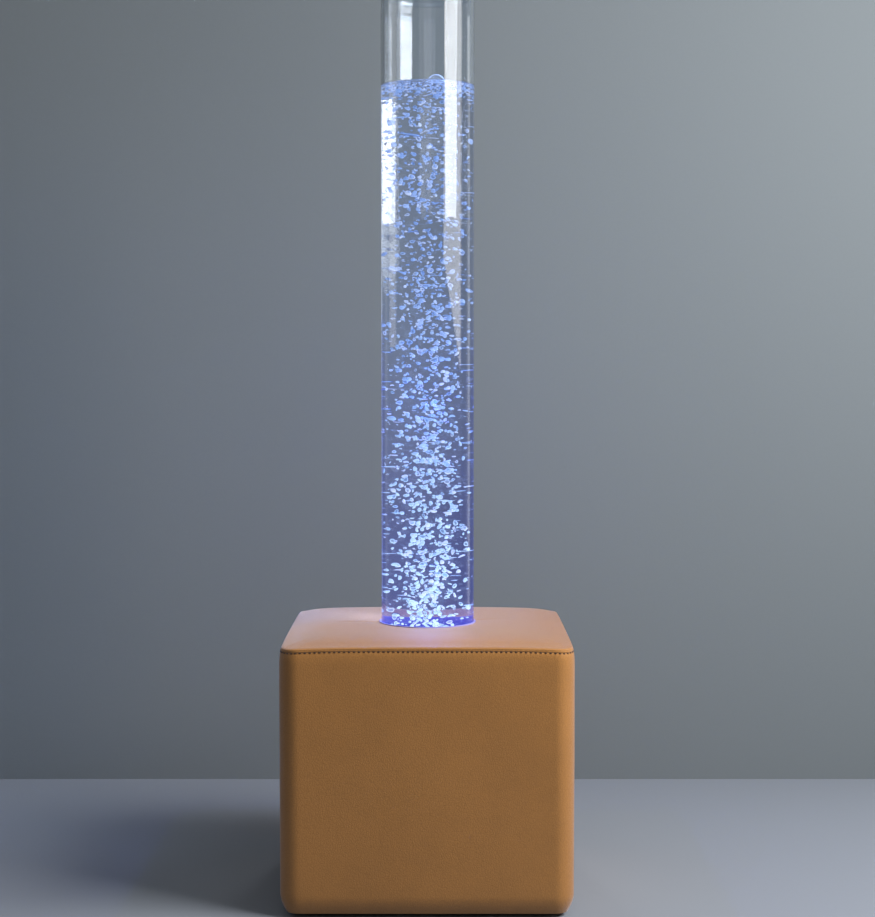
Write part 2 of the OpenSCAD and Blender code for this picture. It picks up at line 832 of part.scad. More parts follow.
module lid() {
  edge = 1;
  spigot_out = bore_r - lid_clear;
  color(acrylic) difference() {
    translate([0, 0, tube_z1]) rotate_extrude() polygon([
      [0, 0], [spigot_out - spigot_wall, 0], [spigot_out - spigot_wall, -spigot_h],
      [spigot_out, -spigot_h], [spigot_out, 0], [tube_r + lid_lip, 0],
      [tube_r + lid_lip, lid_t - edge], [tube_r + lid_lip - edge, lid_t], [0, lid_t]]);
    for (i = [0:2]) rotate(i * 120)
      translate([bore_r / 2, 0, tube_z1 - over]) cylinder(r = vent_r, h = lid_t + 2 * over);
  }
}

// ---------------------------------------------------------------- water port and diffuser

module inlet_port() {
  top = washer_t + port_flange_t;
  color(white) translate([0, 0, plug_z]) rotate_extrude() polygon([
    [port_bore_r, top], [port_flange_r, top], [port_flange_r, washer_t], [port_thread_r, washer_t],
    [port_thread_r, -plug_t - port_nut_h], [port_stem_r, -plug_t - port_nut_h],
    [port_stem_r, tee_z + spigot_r - plug_z], [port_bore_r, tee_z + spigot_r - plug_z]]);
}

module port_nut() {
  color(white) difference() {
    translate([0, 0, tube_z0 - port_nut_h]) hex(port_nut_af, port_nut_h);
    translate([0, 0, tube_z0 - port_nut_h - over]) cylinder(r = port_thread_r + run, h = port_nut_h + 2 * over);
  }
}

module port_washer() {
  color(rubber) ring(port_flange_r, port_thread_r + run, plug_z, plug_z + washer_t);
}

module air_diffuser() {
  bevel = 2;
  color(white) difference() {
    translate([0, 0, sump_z]) rotate_extrude() polygon([
      [port_bore_r, 0], [diffuser_r, 0], [diffuser_r, diffuser_h - bevel], [diffuser_r - bevel, diffuser_h],
      [0, diffuser_h], [0, diffuser_h - diffuser_wall], [diffuser_r - diffuser_wall, diffuser_h - diffuser_wall],
      [diffuser_r - diffuser_wall, diffuser_wall], [port_bore_r, diffuser_wall]]);
    for (row = [0:2]) let (count = max(1, 6 * row))
      for (i = [0:count - 1]) rotate(i * 360 / count)
        translate([row * diffuser_r / 3.2, 0, plug_z + diffuser_h - diffuser_wall])
          cylinder(r = nozzle_r, h = diffuser_h);
  }
}

// ---------------------------------------------------------------- light engine

module sink_screw_set(spare) {
  at_each(sink_screw_at, sink_z) mirror([0, 0, 1]) screw(panel_screw, spare);
}

module heat_sink() {
  fins = floor((boss_r - fin_t) / fin_pitch - 0.5);
  color(steel) difference() {
    union() {
      translate([0, 0, sink_z]) cylinder(r = sink_r, h = sink_t);
      translate([0, 0, shelf_under - 0.5 * sink_t]) cylinder(r = boss_r, h = boss_z - shelf_under + 0.5 * sink_t);
      intersection() {
        for (i = [0:fins], s = [-1, 1])
          translate([-sink_r, s * (i + 0.5) * fin_pitch - fin_t / 2, sink_z - fin_h])
            cube([2 * sink_r, fin_t, fin_h + sink_t / 2]);
        translate([0, 0, sink_z - fin_h - over]) cylinder(r = boss_r, h = fin_h + sink_t + over);
      }
    }
    translate([0, 0, sink_z - fin_h - over]) cylinder(r = core_r, h = boss_z - sink_z + fin_h + 2 * over);
    translate([0, wire_hole_y, sink_z - over]) cylinder(r = wire_r + 1, h = boss_z - sink_z + 2 * over);
    sink_screw_set(run);
  }
}

module led_board() {
  color(white) ring(led_board_r, core_r, boss_z, boss_z + led_board_t);
}

module leds() {
  lens_r = 0.4 * led_w;
  color("#7fa8ff") for (i = [0:led_count - 1]) rotate((i + 0.5) * 360 / led_count)
    translate([led_ring_r, 0, boss_z + led_board_t]) difference() {
      translate([-led_w / 2, -led_w / 2, 0]) cube([led_w, led_w, led_h]);
      translate([0, 0, 0.8 * led_h]) cylinder(r = lens_r, h = led_h);
    }
}

// ---------------------------------------------------------------- air and water lines

module tee() {
  top_z = tee_z + tee_drop - 2;
  color(white) difference() {
    union() {
      translate([0, 0, tee_z - tee_r]) cylinder(r = tee_r, h = top_z - tee_z + tee_r);
      along_x(tee_arm_r, 0, tee_z, -tee_reach, tee_reach);
      along_x(spigot_r, 0, tee_z, -tee_reach - spigot_len, tee_reach + spigot_len);
    }
    translate([0, 0, tee_z + spigot_r - run]) cylinder(r = port_stem_r + run, h = top_z - tee_z + over);
    translate([0, 0, tee_z - port_bore_r]) cylinder(r = port_bore_r, h = spigot_r + port_bore_r);
    along_x(spigot_r - 1.2, 0, tee_z, -tee_reach - spigot_len - over, tee_reach + spigot_len + over);
  }
}

// Non-return valve: a socket on the tee's spigot, a chamber and a spigot for the pump's hose
module check_valve() {
  bevel = 2;
  socket_end = spigot_len + 1;
  color(black) translate([-tee_reach, 0, tee_z]) rotate([0, -90, 0]) rotate_extrude() polygon([
    [spigot_r + run, 0], [check_r - bevel, 0], [check_r, bevel], [check_r, check_len - bevel],
    [check_r - bevel, check_len], [spigot_r, check_len], [spigot_r, check_len + spigot_len],
    [spigot_r - 1.2, check_len + spigot_len], [spigot_r - 1.2, check_len - bevel],
    [check_r - 3, check_len - 3 * bevel], [check_r - 3, socket_end + 2], [spigot_r - 1.2, socket_end + 2],
    [spigot_r - 1.2, socket_end], [spigot_r + run, socket_end]]);
}

module air_hose() {
  color("#d7dde2") hose(air_run, [0.6, 1, 0.3]);
}

module drain_hose() {
  color("#d7dde2") hose(drain_run, [0, 0, 1]);
}

// ---------------------------------------------------------------- drain valve

module valve_body() {
  elbow_r = valve_pipe_r + 1;
  flow_r = spigot_r - 0.2;
  color(brass) difference() {
    union() {
      along_y(valve_boss_r, valve_x, knob_z, boss_y0, boss_y1);
      along_y(nose_r, valve_x, knob_z, boss_y1 - over, nose_y);
      translate([valve_x, valve_y, spout_z - valve_pipe_r])
        cylinder(r = valve_pipe_r, h = inlet_z - spout_z + valve_pipe_r + spigot_r + 1);
      along_y(spigot_r + 1, valve_x, inlet_z, inlet_y, valve_y);
      along_y(spigot_r, valve_x, inlet_z, inlet_y - spigot_len, valve_y);
      along_y(elbow_r, valve_x, spout_z, valve_y - elbow_r, boss_y1);
      along_y(nose_r, valve_x, spout_z, boss_y1 - over, nose_y);
      along_y(spout_r, valve_x, spout_z, nose_y - over, rim_y - 1);
    }
    along_y(plug_r + run, valve_x, knob_z, boss_y0 - over, boss_y1 - 2);
    along_y(stem_r + run, valve_x, knob_z, boss_y0, nose_y + over);
    translate([valve_x, valve_y, spout_z]) cylinder(r = spigot_r - 1.2, h = inlet_z - spout_z);
    along_y(spigot_r - 1.2, valve_x, inlet_z, inlet_y - spigot_len - over, valve_y);
    along_y(flow_r - 1, valve_x, spout_z, valve_y, rim_y);
  }
}

module valve_cap() {
  color(brass) {
    along_y(plug_r, valve_x, knob_z, boss_y0, boss_y0 + 3);
    translate([valve_x, boss_y0, knob_z]) rotate([90, 0, 0]) hex(2 * plug_r, 4);
  }
}

module valve_nut() {
  color(steel) difference() {
    for (z = [knob_z, spout_z]) translate([valve_x, nose_y - 0.5, z]) rotate([90, 0, 0]) hex(20, nose_y - 0.5 - plate_y);
    for (z = [knob_z, spout_z]) along_y(nose_r + run, valve_x, z, plate_y - over, nose_y + over);
  }
}

// Turning plug, shown shut: its cross bore lies level while the flow runs down
module valve_plug() {
  color(steel) difference() {
    union() {
      along_y(plug_r, valve_x, knob_z, boss_y0 + 3 + run, boss_y1 - 2 - run);
      along_y(stem_r, valve_x, knob_z, boss_y1 - 3, knob_y1 - 2);
    }
    along_x(spigot_r - 1.2, valve_y, knob_z, valve_x - plug_r - over, valve_x + plug_r + over);
  }
}

module valve_knob() {
  hub_r = 9;
  bar_len = 27;
  bar_w = 7;
  color(black) difference() {
    union() {
      along_y(hub_r, valve_x, knob_z, knob_y0, knob_y1 - 3);
      upright_plate(bar_len, bar_w, 3, valve_x, knob_z, knob_y0 + 3, knob_y1);
    }
    along_y(stem_r + seat, valve_x, knob_z, knob_y0 - over, knob_y1 - 2 + seat);
  }
}

// ---------------------------------------------------------------- air pump

module pump_feet() {
  color(rubber) for (x = [-1, 1], y = [-1, 1])
    translate([x * (pump_w / 2 - 18), pump_y + y * (pump_d / 2 - 16), deck_z]) cylinder(r1 = 9, r2 = 8, h = pump_foot_h);
}

module pump_outline(spare, z0, z1) {
  translate([0, pump_y, z0]) linear_extrude(z1 - z0)
    polygon(round_rect(pump_w - 2 * spare, pump_d - 2 * spare, pump_corner - spare, 6));
}

module pump_base() {
  lip = 4;
  color(black) {
    pump_outline(0, pump_z, pump_floor);
    difference() {
      pump_outline(pump_wall + seat, pump_floor - over, pump_floor + lip);
      pump_outline(2 * pump_wall, pump_floor - 2 * over, pump_floor + lip + over);
    }
  }
}

module pump_cover() {
  rib_pitch = 12;
  ribs = 4;
  color("#5c6066") difference() {
    union() {
      pump_outline(0, pump_floor, pump_top - 4);
      pump_outline(3, pump_top - 5, pump_top);
      for (i = [-ribs:ribs]) translate([i * rib_pitch - 1.5, pump_y - pump_d / 2 + 10, pump_top - over])
        if (abs(i * rib_pitch - pump_out.x) > 16) cube([3, pump_d - 20, over + 2]);
    }
    pump_outline(pump_wall, pump_floor - over, pump_top - pump_wall - 3);
    translate([pump_out.x, pump_out.y, pump_top - 12]) cylinder(r = spigot_r + 1, h = 24);
  }
}

// Iron core: three poles that face the arm's magnet, on two feet
module pump_core() {
  core_len = 34;
  foot_h = pole_z0 - pump_floor;
  color(steel) {
    difference() {
      translate([core_x1 - core_len, tip_y - pole_w, pole_z0]) cube([core_len, 3 * pole_w + 2 * winding, pole_h]);
      for (y = [tip_y, tip_y + pole_w + winding])
        translate([core_x1 - core_len + 8, y, pole_z0 - over]) cube([core_len, winding, pole_h + 2 * over]);
    }
    for (y = [tip_y - pole_w, tip_y + pole_w + 2 * winding])
      translate([core_x1 - core_len, y, pump_floor]) cube([core_len, pole_w, foot_h + over]);
  }
}

// Winding round the middle pole
module pump_coil() {
  coil_len = 22;
  color(brass) translate([core_x1 - coil_len - 2, tip_y + seat, pole_z0 - winding]) difference() {
    cube([coil_len, pole_w + 2 * winding - 2 * seat, pole_h + 2 * winding]);
    translate([-over, winding - 2 * seat, winding - seat])
      cube([coil_len + 2 * over, pole_w + 2 * seat, pole_h + 2 * seat]);
  }
}

module pump_arm() {
  color(steel) {
    translate([pivot_x - arm_t / 2, tip_y, arm_z0]) cube([arm_t, arm_len, arm_z1 - arm_z0]);
    translate([pivot_x, pivot_y, pump_floor + 2]) cylinder(r = pin_r, h = arm_z1 - pump_floor + 2);
    translate([pivot_x - arm_t / 2 - magnet_t, tip_y, arm_z0 + 2])
      cube([magnet_t + arm_t / 2, 24, arm_z1 - arm_z0 - 4]);
  }
}

// Valve box: its distance from the arm's pivot, width, length and height
box_gap = 18;
box_x0 = pivot_x + box_gap;
box_wide = 30;
box_long = 56;
box_high = 44;
// Bearing under the pivot pin, and the outlet's bar over the box
bearing_w = 12;
bearing_h = 10;
bar_w = 12;
bar_t = 7;
pin_r = 2.5;

// Housing of the diaphragm, with the arm's bearing and the outlet pipe
module pump_valve_box() {
  outlet_z = pump_floor + box_high + 6;
  bar_y = pump_out.y - bar_w / 2;
  color(black) difference() {
    union() {
      translate([box_x0, pivot_y - arm_len / 2 - box_long / 2, pump_floor]) cube([box_wide, box_long, box_high]);
      translate([pivot_x - bearing_w / 2 - 2, pivot_y - bearing_w / 2, pump_floor])
        cube([box_gap + bearing_w / 2 + 2 + over, bearing_w, bearing_h]);
      translate([pump_out.x, pump_out.y, outlet_z - bar_w / 2 + over])
        cylinder(r = spigot_r, h = pump_top + spigot_len - outlet_z + bar_w / 2 - over);
      translate([pump_out.x - bar_w / 2, bar_y, outlet_z - bar_w / 2])
        cube([box_x0 + bar_w - pump_out.x, bar_w, bar_t]);
      translate([box_x0, bar_y, pump_floor + box_high - over])
        cube([bar_w, bar_w, outlet_z - bar_w / 2 + bar_t - pump_floor - box_high + over]);
    }
    translate([pivot_x, pivot_y, pump_floor + 2 - run]) cylinder(r = pin_r + run, h = bearing_h + box_high);
    translate([pump_out.x, pump_out.y, outlet_z - 2]) cylinder(r = spigot_r - 1.2, h = pump_top + spigot_len);
  }
}

// Rubber bellows between the valve box and the arm, short of the arm by its swing
module pump_diaphragm() {
  disc_r = 17;
  reach = box_gap - arm_t / 2 - arm_travel / 2 - 1;
  color(rubber) translate([box_x0, pivot_y - arm_len / 2, pump_floor + 25]) rotate([0, -90, 0])
    rotate_extrude() polygon([
      [0, 0], [disc_r, 0], [disc_r, 3], [disc_r - 3, 4], [disc_r - 3, 5], [disc_r - 1, 6], [disc_r - 1, 8],
      [disc_r - 5, 9], [disc_r - 5, 10], [8, 11], [8, reach], [0, reach]]);
}

// ---------------------------------------------------------------- controller

module ctrl_block(spare, z0, z1) {
  translate([ctrl_x, ctrl_y, z0]) linear_extrude(z1 - z0)
    polygon(round_rect(ctrl_w - 2 * spare, ctrl_d - 2 * spare, max(ctrl_corner - spare, 0.5), 3));
}

module controller_case() {
  color(black) difference() {
    union() {
      ctrl_block(0, deck_z, ctrl_top - ctrl_wall);
      for (s = [-1, 1]) translate([ctrl_x + s * ctrl_w / 2, ctrl_y, 0]) slab(18, 14, deck_z, deck_z + 3);
    }
    ctrl_block(ctrl_wall, deck_z + ctrl_wall, ctrl_top);
    for (s = [-1, 1]) translate([ctrl_x + s * (ctrl_w / 2 + 5), ctrl_y, deck_z - over])
      cylinder(r = panel_screw[0], h = 3 + 2 * over);
  }
}

module controller_lid() {
  color("#3a3d42") {
    ctrl_block(0, ctrl_top - ctrl_wall, ctrl_top);
    difference() {
      ctrl_block(ctrl_wall + seat, ctrl_top - 2 * ctrl_wall, ctrl_top - ctrl_wall / 2);
      ctrl_block(2 * ctrl_wall, ctrl_top - 3 * ctrl_wall, ctrl_top - ctrl_wall);
    }
  }
}

module controller_board() {
  board_top = deck_z + ctrl_wall + 5.6;
  color("#2f6b45") {
    translate([ctrl_x, ctrl_y, 0]) slab(ctrl_w - 3 * ctrl_wall, ctrl_d - 3 * ctrl_wall, board_top - 1.6, board_top);
    for (x = [-1, 1], y = [-1, 1]) translate([ctrl_x + x * (ctrl_w / 2 - 10), ctrl_y + y * (ctrl_d / 2 - 10), deck_z + ctrl_wall])
      cylinder(r = 3, h = 5);
    for (i = [-1:1]) translate([ctrl_x + i * 20, ctrl_y + 8, board_top - 0.5]) cylinder(r = 5, h = 11);
    translate([ctrl_x, ctrl_y - 10, 0]) slab(34, 12, board_top - 0.5, board_top + 8);
  }
}

// ---------------------------------------------------------------- connection panel

module panel_screw_set(spare) {
  for (x = [-1, 1], z = [-1, 1])
    translate([x * (dish_w / 2 - 9), plate_y, dish_z + z * (dish_h / 2 - 9)]) rotate([-90, 0, 0]) screw(panel_screw, spare);
}

module connection_panel() {
  color(black) difference() {
    union() {
      upright_plate(dish_w, dish_h, dish_corner, 0, dish_z, box_d / 2, rim_y);
      upright_plate(rim_full_w, rim_full_h, dish_corner + rim_w, 0, dish_z, rim_y - rim_t, rim_y);
    }
    upright_plate(dish_w - 2 * dish_wall, dish_h - 2 * dish_wall, dish_corner - dish_wall, 0, dish_z, plate_y, half_d + over);
    panel_screw_set(run);
    along_y(jack_r + seat, jack_x, jack_z, box_d / 2 - over, half_d);
    upright_plate(frame_w + 2 * seat, frame_h + 2 * seat, 1, switch_x, dish_z, box_d / 2 - over, half_d);
    along_y(barrel_r + seat, button_x, dish_z, box_d / 2 - over, half_d);
    for (z = [knob_z, spout_z]) along_y(nose_r + seat, valve_x, z, box_d / 2 - over, half_d);
    for (i = [0:vent_slots - 1])
      upright_plate(vent_w, vent_h, 1.2, jack_x + (i - (vent_slots - 1) / 2) * vent_pitch, dish_z + dish_h / 2 - 20,
        box_d / 2 - over, half_d);
  }
}

module panel_screws() {
  color(steel) {
    panel_screw_set(0);
    sink_screw_set(0);
  }
}

module panel_nuts() {
  color(steel) for (spec = [[jack_x, jack_z, jack_r, 15], [button_x, dish_z, barrel_r, 2 * barrel_r + 4]])
    difference() {
      translate([spec[0], box_d / 2, spec[1]]) rotate([90, 0, 0]) hex(spec[3], nut_t);
      along_y(spec[2] + run, spec[0], spec[1], box_d / 2 - nut_t - over, box_d / 2 + over);
    }
}

// Low-voltage socket with a centre pin
module dc_inlet() {
  color(black) difference() {
    union() {
      along_y(jack_r + 2, jack_x, jack_z, plate_y, plate_y + bezel_t);
      along_y(jack_r, jack_x, jack_z, jack_back, plate_y + over);
    }
    difference() {
      along_y(3.2, jack_x, jack_z, plate_y - 11, plate_y + bezel_t + over);
      along_y(1, jack_x, jack_z, plate_y - 12, plate_y);
    }
  }
}

module switch_frame() {
  well = sqrt(pow(rocker_len / 2, 2) + pow(rocker_depth + 1, 2)) * 2 - 1.4;
  color(black) difference() {
    union() {
      upright_plate(frame_w + 6, max(frame_h, well + 3) + 5, 2, switch_x, dish_z, plate_y, plate_y + bezel_t);
      upright_plate(frame_w, frame_h, 1, switch_x, dish_z, plate_y - switch_depth, plate_y + over);
    }
    upright_plate(rocker_w + 0.8, well, 0.8, switch_x, dish_z, plate_y - switch_depth + 4, plate_y + bezel_t + over);
    along_x(1.5 + run, rocker_y, dish_z, switch_x - pin_half - seat, switch_x + pin_half + seat);
  }
}

module switch_rocker() {
  half = rocker_len / 2;
  color("#b3262a") translate([switch_x, rocker_y, dish_z]) rotate([rocker_tilt, 0, 0]) {
    rotate([90, 0, 90]) translate([0, 0, -rocker_w / 2]) linear_extrude(rocker_w) polygon([
      [rocker_depth, -half], [rocker_depth - 2, 0], [rocker_depth, half], [-1, half], [-6, 5], [-6, -5], [-1, -half]]);
    along_x(1.5, 0, 0, -pin_half, pin_half);
  }
}

module button_body() {
  color(steel) difference() {
    union() {
      along_y(barrel_r + 2, button_x, dish_z, plate_y, plate_y + bezel_t);
      along_y(barrel_r, button_x, dish_z, plate_y - 18, plate_y + over);
    }
    along_y(button_r + run, button_x, dish_z, plate_y - 14, plate_y + bezel_t + over);
  }
}

module colour_button() {
  face_y = plate_y + bezel_t + button_out;
  dish_depth = 0.8;
  color(white) translate([button_x, plate_y - 11, dish_z]) rotate([-90, 0, 0]) rotate_extrude() polygon([
    [0, 0], [button_r, 0], [button_r, face_y - plate_y + 11 - 0.6], [button_r - 0.6, face_y - plate_y + 11],
    [button_r - 1.6, face_y - plate_y + 11], [0, face_y - plate_y + 11 - dish_depth]]);
}

module wiring() {
  lead = wire_lead;
  ctrl_back = [ctrl_x, ctrl_y + ctrl_d / 2 + lead, deck_z + ctrl_h / 2];
  ctrl_side = [ctrl_x + ctrl_w / 2 + lead, ctrl_y - 12, deck_z + ctrl_h / 2];
  jack_end = [jack_x, jack_back - lead, jack_z];
  switch_end = [switch_x, plate_y - switch_depth - lead, dish_z];
  sink_end = [0, wire_hole_y, boss_z - lead];
  pump_end = [-60, pump_y + pump_d / 2 + lead, pump_floor + 20];
  color("#3b3f45") {
    wire([jack_end, jack_end - [0, 30, 0], ctrl_back + [16, 34, 0], ctrl_back + [16, 0, 0]], [0.3, 0, 1]);
    wire([switch_end, switch_end - [0, 34, 0], ctrl_back + [36, 40, 0], ctrl_back + [36, 0, 0]], [0.3, 0, 1]);
    wire([sink_end, sink_end - [0, 0, 80], ctrl_side + [50, 0, 4], ctrl_side + [0, 0, 4]], [0, 1, 0]);
    wire([ctrl_side - [0, 8, 4], ctrl_side + [34, -8, -4], pump_end + [0, 44, 0], pump_end], [0, 0, 1]);
  }
}

// ---------------------------------------------------------------- nodes

glides();
frame_screws();
base_panel();
front_panel();
back_panel();
side_panels();
top_panel();
corner_posts();
shelf();
shelf_battens();
foam_front();
foam_back();
foam_sides();
foam_top();
cover_band();
cover_top();
socket_ring();
tube_gasket();
tube();
tube_liner();
tube_plug();
inlet_port();
port_nut();
port_washer();
air_diffuser();
water();
bubbles();
lid();
heat_sink();
led_board();
leds();
tee();
check_valve();
air_hose();
drain_hose();
valve_body();
valve_cap();
valve_nut();
valve_plug();
valve_knob();
pump_base();
pump_cover();
pump_feet();
pump_core();
pump_coil();
pump_arm();
pump_diaphragm();
pump_valve_box();
controller_case();
controller_lid();
controller_board();
connection_panel();
panel_screws();
panel_nuts();
switch_frame();
switch_rocker();
dc_inlet();
button_body();
colour_button();
wiring();
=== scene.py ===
import math
import random
from contextlib import contextmanager

import bmesh
import bpy
from bpy.props import FloatProperty, FloatVectorProperty, IntProperty, PointerProperty
from mathutils import Euler, Matrix, Vector, noise


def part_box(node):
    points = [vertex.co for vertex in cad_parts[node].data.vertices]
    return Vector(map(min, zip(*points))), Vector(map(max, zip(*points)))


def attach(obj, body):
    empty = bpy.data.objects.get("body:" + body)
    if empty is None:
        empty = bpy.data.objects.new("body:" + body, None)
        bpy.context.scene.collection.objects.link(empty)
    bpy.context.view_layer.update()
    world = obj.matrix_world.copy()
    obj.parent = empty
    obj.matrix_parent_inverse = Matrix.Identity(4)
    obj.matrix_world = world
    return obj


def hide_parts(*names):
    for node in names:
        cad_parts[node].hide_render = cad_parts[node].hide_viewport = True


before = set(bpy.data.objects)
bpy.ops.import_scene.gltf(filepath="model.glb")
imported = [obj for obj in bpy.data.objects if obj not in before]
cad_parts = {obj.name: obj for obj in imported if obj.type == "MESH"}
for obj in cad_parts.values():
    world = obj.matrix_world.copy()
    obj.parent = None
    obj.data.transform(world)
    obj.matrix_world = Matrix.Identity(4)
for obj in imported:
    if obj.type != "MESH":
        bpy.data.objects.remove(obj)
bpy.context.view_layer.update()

bl_info = {
    "name": "Bubble tube floor lamp",
    "version": (1, 0, 0),
    "blender": (4, 5, 0),
    "location": "3D View > Sidebar > Bubble lamp",
    "description": "Leather, water, bubbles, finishes and studio for the packed lamp",
    "category": "Object",
}

BODY = "stand"


def box(node):
    """Lowest and highest corner of a CAD node."""
    return [Vector(corner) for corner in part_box(node)]


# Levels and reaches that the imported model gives
HALF_W, HALF_D = box("cover_band")[1][:2]
BASE_Z = box("base_panel")[0].z
CROWN_Z = box("tube_liner")[1].z
LINER_R = box("tube_liner")[1].x
TUBE_LOW, TUBE_HIGH = box("tube")
TUBE_R = TUBE_HIGH.x
WATER_LOW, WATER_HIGH = box("water")
BORE_R = WATER_HIGH.x
RIM_LOW, RIM_HIGH = box("connection_panel")
DIFFUSER_TOP = box("air_diffuser")[1].z

FOOT_H = 0.028    # height over which the leather rolls in at the foot
FOAM_GAP = 0.0008    # from the leather's underside to the foam that is drawn down under it


def srgb(red, green, blue):
    """A colour given 0 to 255, as the shader takes it."""
    return tuple(c / 12.92 if c <= 0.04045 else ((c + 0.055) / 1.055) ** 2.4
                 for c in (red / 255, green / 255, blue / 255))


def length(name, about, default):
    return FloatProperty(name=name, description=about, default=default, unit="LENGTH", precision=5)


def power(name, about, default):
    return FloatProperty(name=name, description=about, default=default, unit="POWER")


def number(name, about, default):
    return FloatProperty(name=name, description=about, default=default)


def whole(name, about, default):
    return IntProperty(name=name, description=about, default=default, min=0)


def colour(name, about, default):
    return FloatVectorProperty(name=name, description=about, default=srgb(*default), subtype="COLOR", size=3,
                               min=0.0, max=1.0)


# ---------------------------------------------------------------- settings


class LampCoverSettings(bpy.types.PropertyGroup):
    """Sizes and colours of the upholstery"""

    leather: colour("Leather", "Colour of the cover", (166, 115, 60))
    thread: colour("Thread", "Colour of the stitching", (66, 40, 20))
    foam: colour("Foam", "Colour of the upholstery foam", (226, 214, 170))
    leather_t: length("Leather thickness", "Thickness of the cover", 0.0014)
    corner_r: length("Corner radius", "Radius of the plinth's upright corners", 0.030)
    roll_w: length("Roll", "Width of the rolled edge around the top", 0.009)
    seam_drop: length("Seam drop", "Depth of the seam below the crown", 0.016)
    crown_h: length("Crown", "Rise of the top above its rolled edge", 0.0095)
    corner_pull: length("Corner pull", "How far the seam is drawn down at the corners", 0.004)
    pinch: length("Pinch", "How far the seam draws the sides in", 0.0025)
    crease: length("Crease", "Depth of the folds beside the tube", 0.0016)
    tuck: length("Tuck", "How far the leather rolls in at the foot", 0.009)
    hem: length("Hem", "Width of the hem under the base", 0.028)
    stitches: whole("Stitches", "Number of stitches around the plinth", 236)
    stitch_len: length("Stitch length", "Visible length of a stitch", 0.0048)
    stitch_r: length("Thread radius", "Radius of the thread", 0.0011)
    stitch_drop: length("Stitch drop", "Distance of the stitches below the seam", 0.0006)
    pucker: length("Pucker", "How far a stitch draws the leather in", 0.0010)
    grain: length("Grain", "Width of one cell of the leather's grain", 0.0012)


class LampColumnSettings(bpy.types.PropertyGroup):
    """Sizes and colours of the water column"""

    clear: colour("Acrylic", "Tint of the tube", (246, 250, 255))
    water: colour("Water", "Tint of the lit water", (243, 246, 253))
    # painted glow: the water emits this colour as the lamps' light
    glow: colour("Glow", "Colour that the lamps give the water", (70, 84, 255))
    # painted lavender cast of the lamps' light on the water low down
    water_painted_low_cast: colour("Low water", "Tint of the water near the lamps", (226, 223, 245))
    # painted shade: darker blue where the lower water is seen edge on
    edge: colour("Water's edge", "Tint of the lower water where it is seen edge on", (120, 140, 236))
    # painted glow: emission colours of the bubbles near the foot and near the surface
    bubble_painted_glow_low: colour("Low bubbles", "Colour of the bubbles near the foot", (218, 248, 252))
    bubble_painted_glow_high: colour("High bubbles", "Colour of the bubbles near the surface", (168, 192, 238))
    # painted highlight on a share of the bubbles
    bubble_painted_highlight: colour("Bright bubbles", "Glow of the bubbles that face a lamp", (222, 232, 250))
    # painted shade on the bubbles' rims and upper sides
    bubble_painted_shade: colour("Bubble shade", "Colour of the bubbles' rims and upper sides", (50, 86, 160))
    glow_foot: number("Glow at the foot", "Strength of the water's glow at its foot", 0.085)
    glow_top: number("Glow at the top", "Strength of the water's glow at its surface", 0.008)
    dome_r: length("Surface bubble", "Radius of the bubble that stands out of the water", 0.0132)
    calm: length("Surface", "How far the restless surface lies below the calm one", 0.009)
    bubbles: whole("Bubbles", "Bubbles in the rising plume besides the packed ones", 1550)
    strays: whole("Stray bubbles", "Bubbles over the whole bore", 1150)
    froth: whole("Froth", "Bubbles that float at the surface", 400)
    bubble_r: length("Bubble", "Half width of a usual bubble", 0.0034)
    plume_r: length("Plume", "Spread of the plume at the diffuser", 0.0195)
    seed: whole("Seed", "Start of the bubbles' random places", 11)


class LampInsideSettings(bpy.types.PropertyGroup):
    """Sizes and colours of the hoses and wires inside the plinth"""

    hose: colour("Hose", "Colour of the silicone hoses", (214, 221, 226))
    hose_r: length("Hose radius", "Outside radius of a hose", 0.006)
    hose_bore: length("Hose bore", "Inside radius of a hose", 0.0042)
    jacket: colour("Jacket", "Colour of the wires' jackets", (58, 62, 68))
    wire_r: length("Wire radius", "Outside radius of a wire", 0.00195)


class LampStudioSettings(bpy.types.PropertyGroup):
    """Camera, lights and backdrop"""

    floor: colour("Floor", "Colour of the floor", (129, 134, 142))
    wall: colour("Wall", "Colour of the wall behind", (110, 116, 119))
    key: power("Key light", "Softbox on the right", 90.0)
    fill: power("Fill light", "Softbox on the left", 10.0)
    above: power("Top light", "Lamp above", 9.0)
    front: power("Front light", "Lamp beside the camera", 6.0)
    glint: power("Glint light", "Softbox that only gloss and glass show", 24.0)
    back: power("Back light", "Small lamp behind the box", 0.8)
    rim: power("Rim light", "Strip that edges the right side", 1.0)
    glow_low: power("Glow at the foot", "Light that the lit water sheds low down", 0.22)
    glow_high: power("Glow", "Light that the lit water sheds all round", 3.0)
    world: number("Surroundings", "Strength of the light from all round", 0.33)
    lens: number("Lens", "Focal length of the camera in millimetres", 72.94)
    eye: FloatVectorProperty(name="Camera", description="Place of the camera", default=(0.016, -3.003, 0.849),
                             subtype="TRANSLATION", size=3)
    pitch: FloatProperty(name="Pitch", description="How far the camera looks down", default=math.radians(3.04),
                         subtype="ANGLE")
    wall_y: length("Wall", "Distance of the wall behind the lamp", 0.725)


# ---------------------------------------------------------------- modelling


def start():
    """Object mode with nothing selected."""
    if bpy.context.object and bpy.context.object.mode != "OBJECT":
        bpy.ops.object.mode_set(mode="OBJECT")
    bpy.ops.object.select_all(action="DESELECT")


def only(obj):
    """Selects one object and makes it the active one."""
    start()
    obj.select_set(True)
    bpy.context.view_layer.objects.active = obj


def added(name):
    """Names the primitive just added and puts its place into its mesh."""
    obj = bpy.context.object
    obj.name = obj.data.name = name
    bpy.ops.object.transform_apply(location=True, rotation=True, scale=True)
    return obj


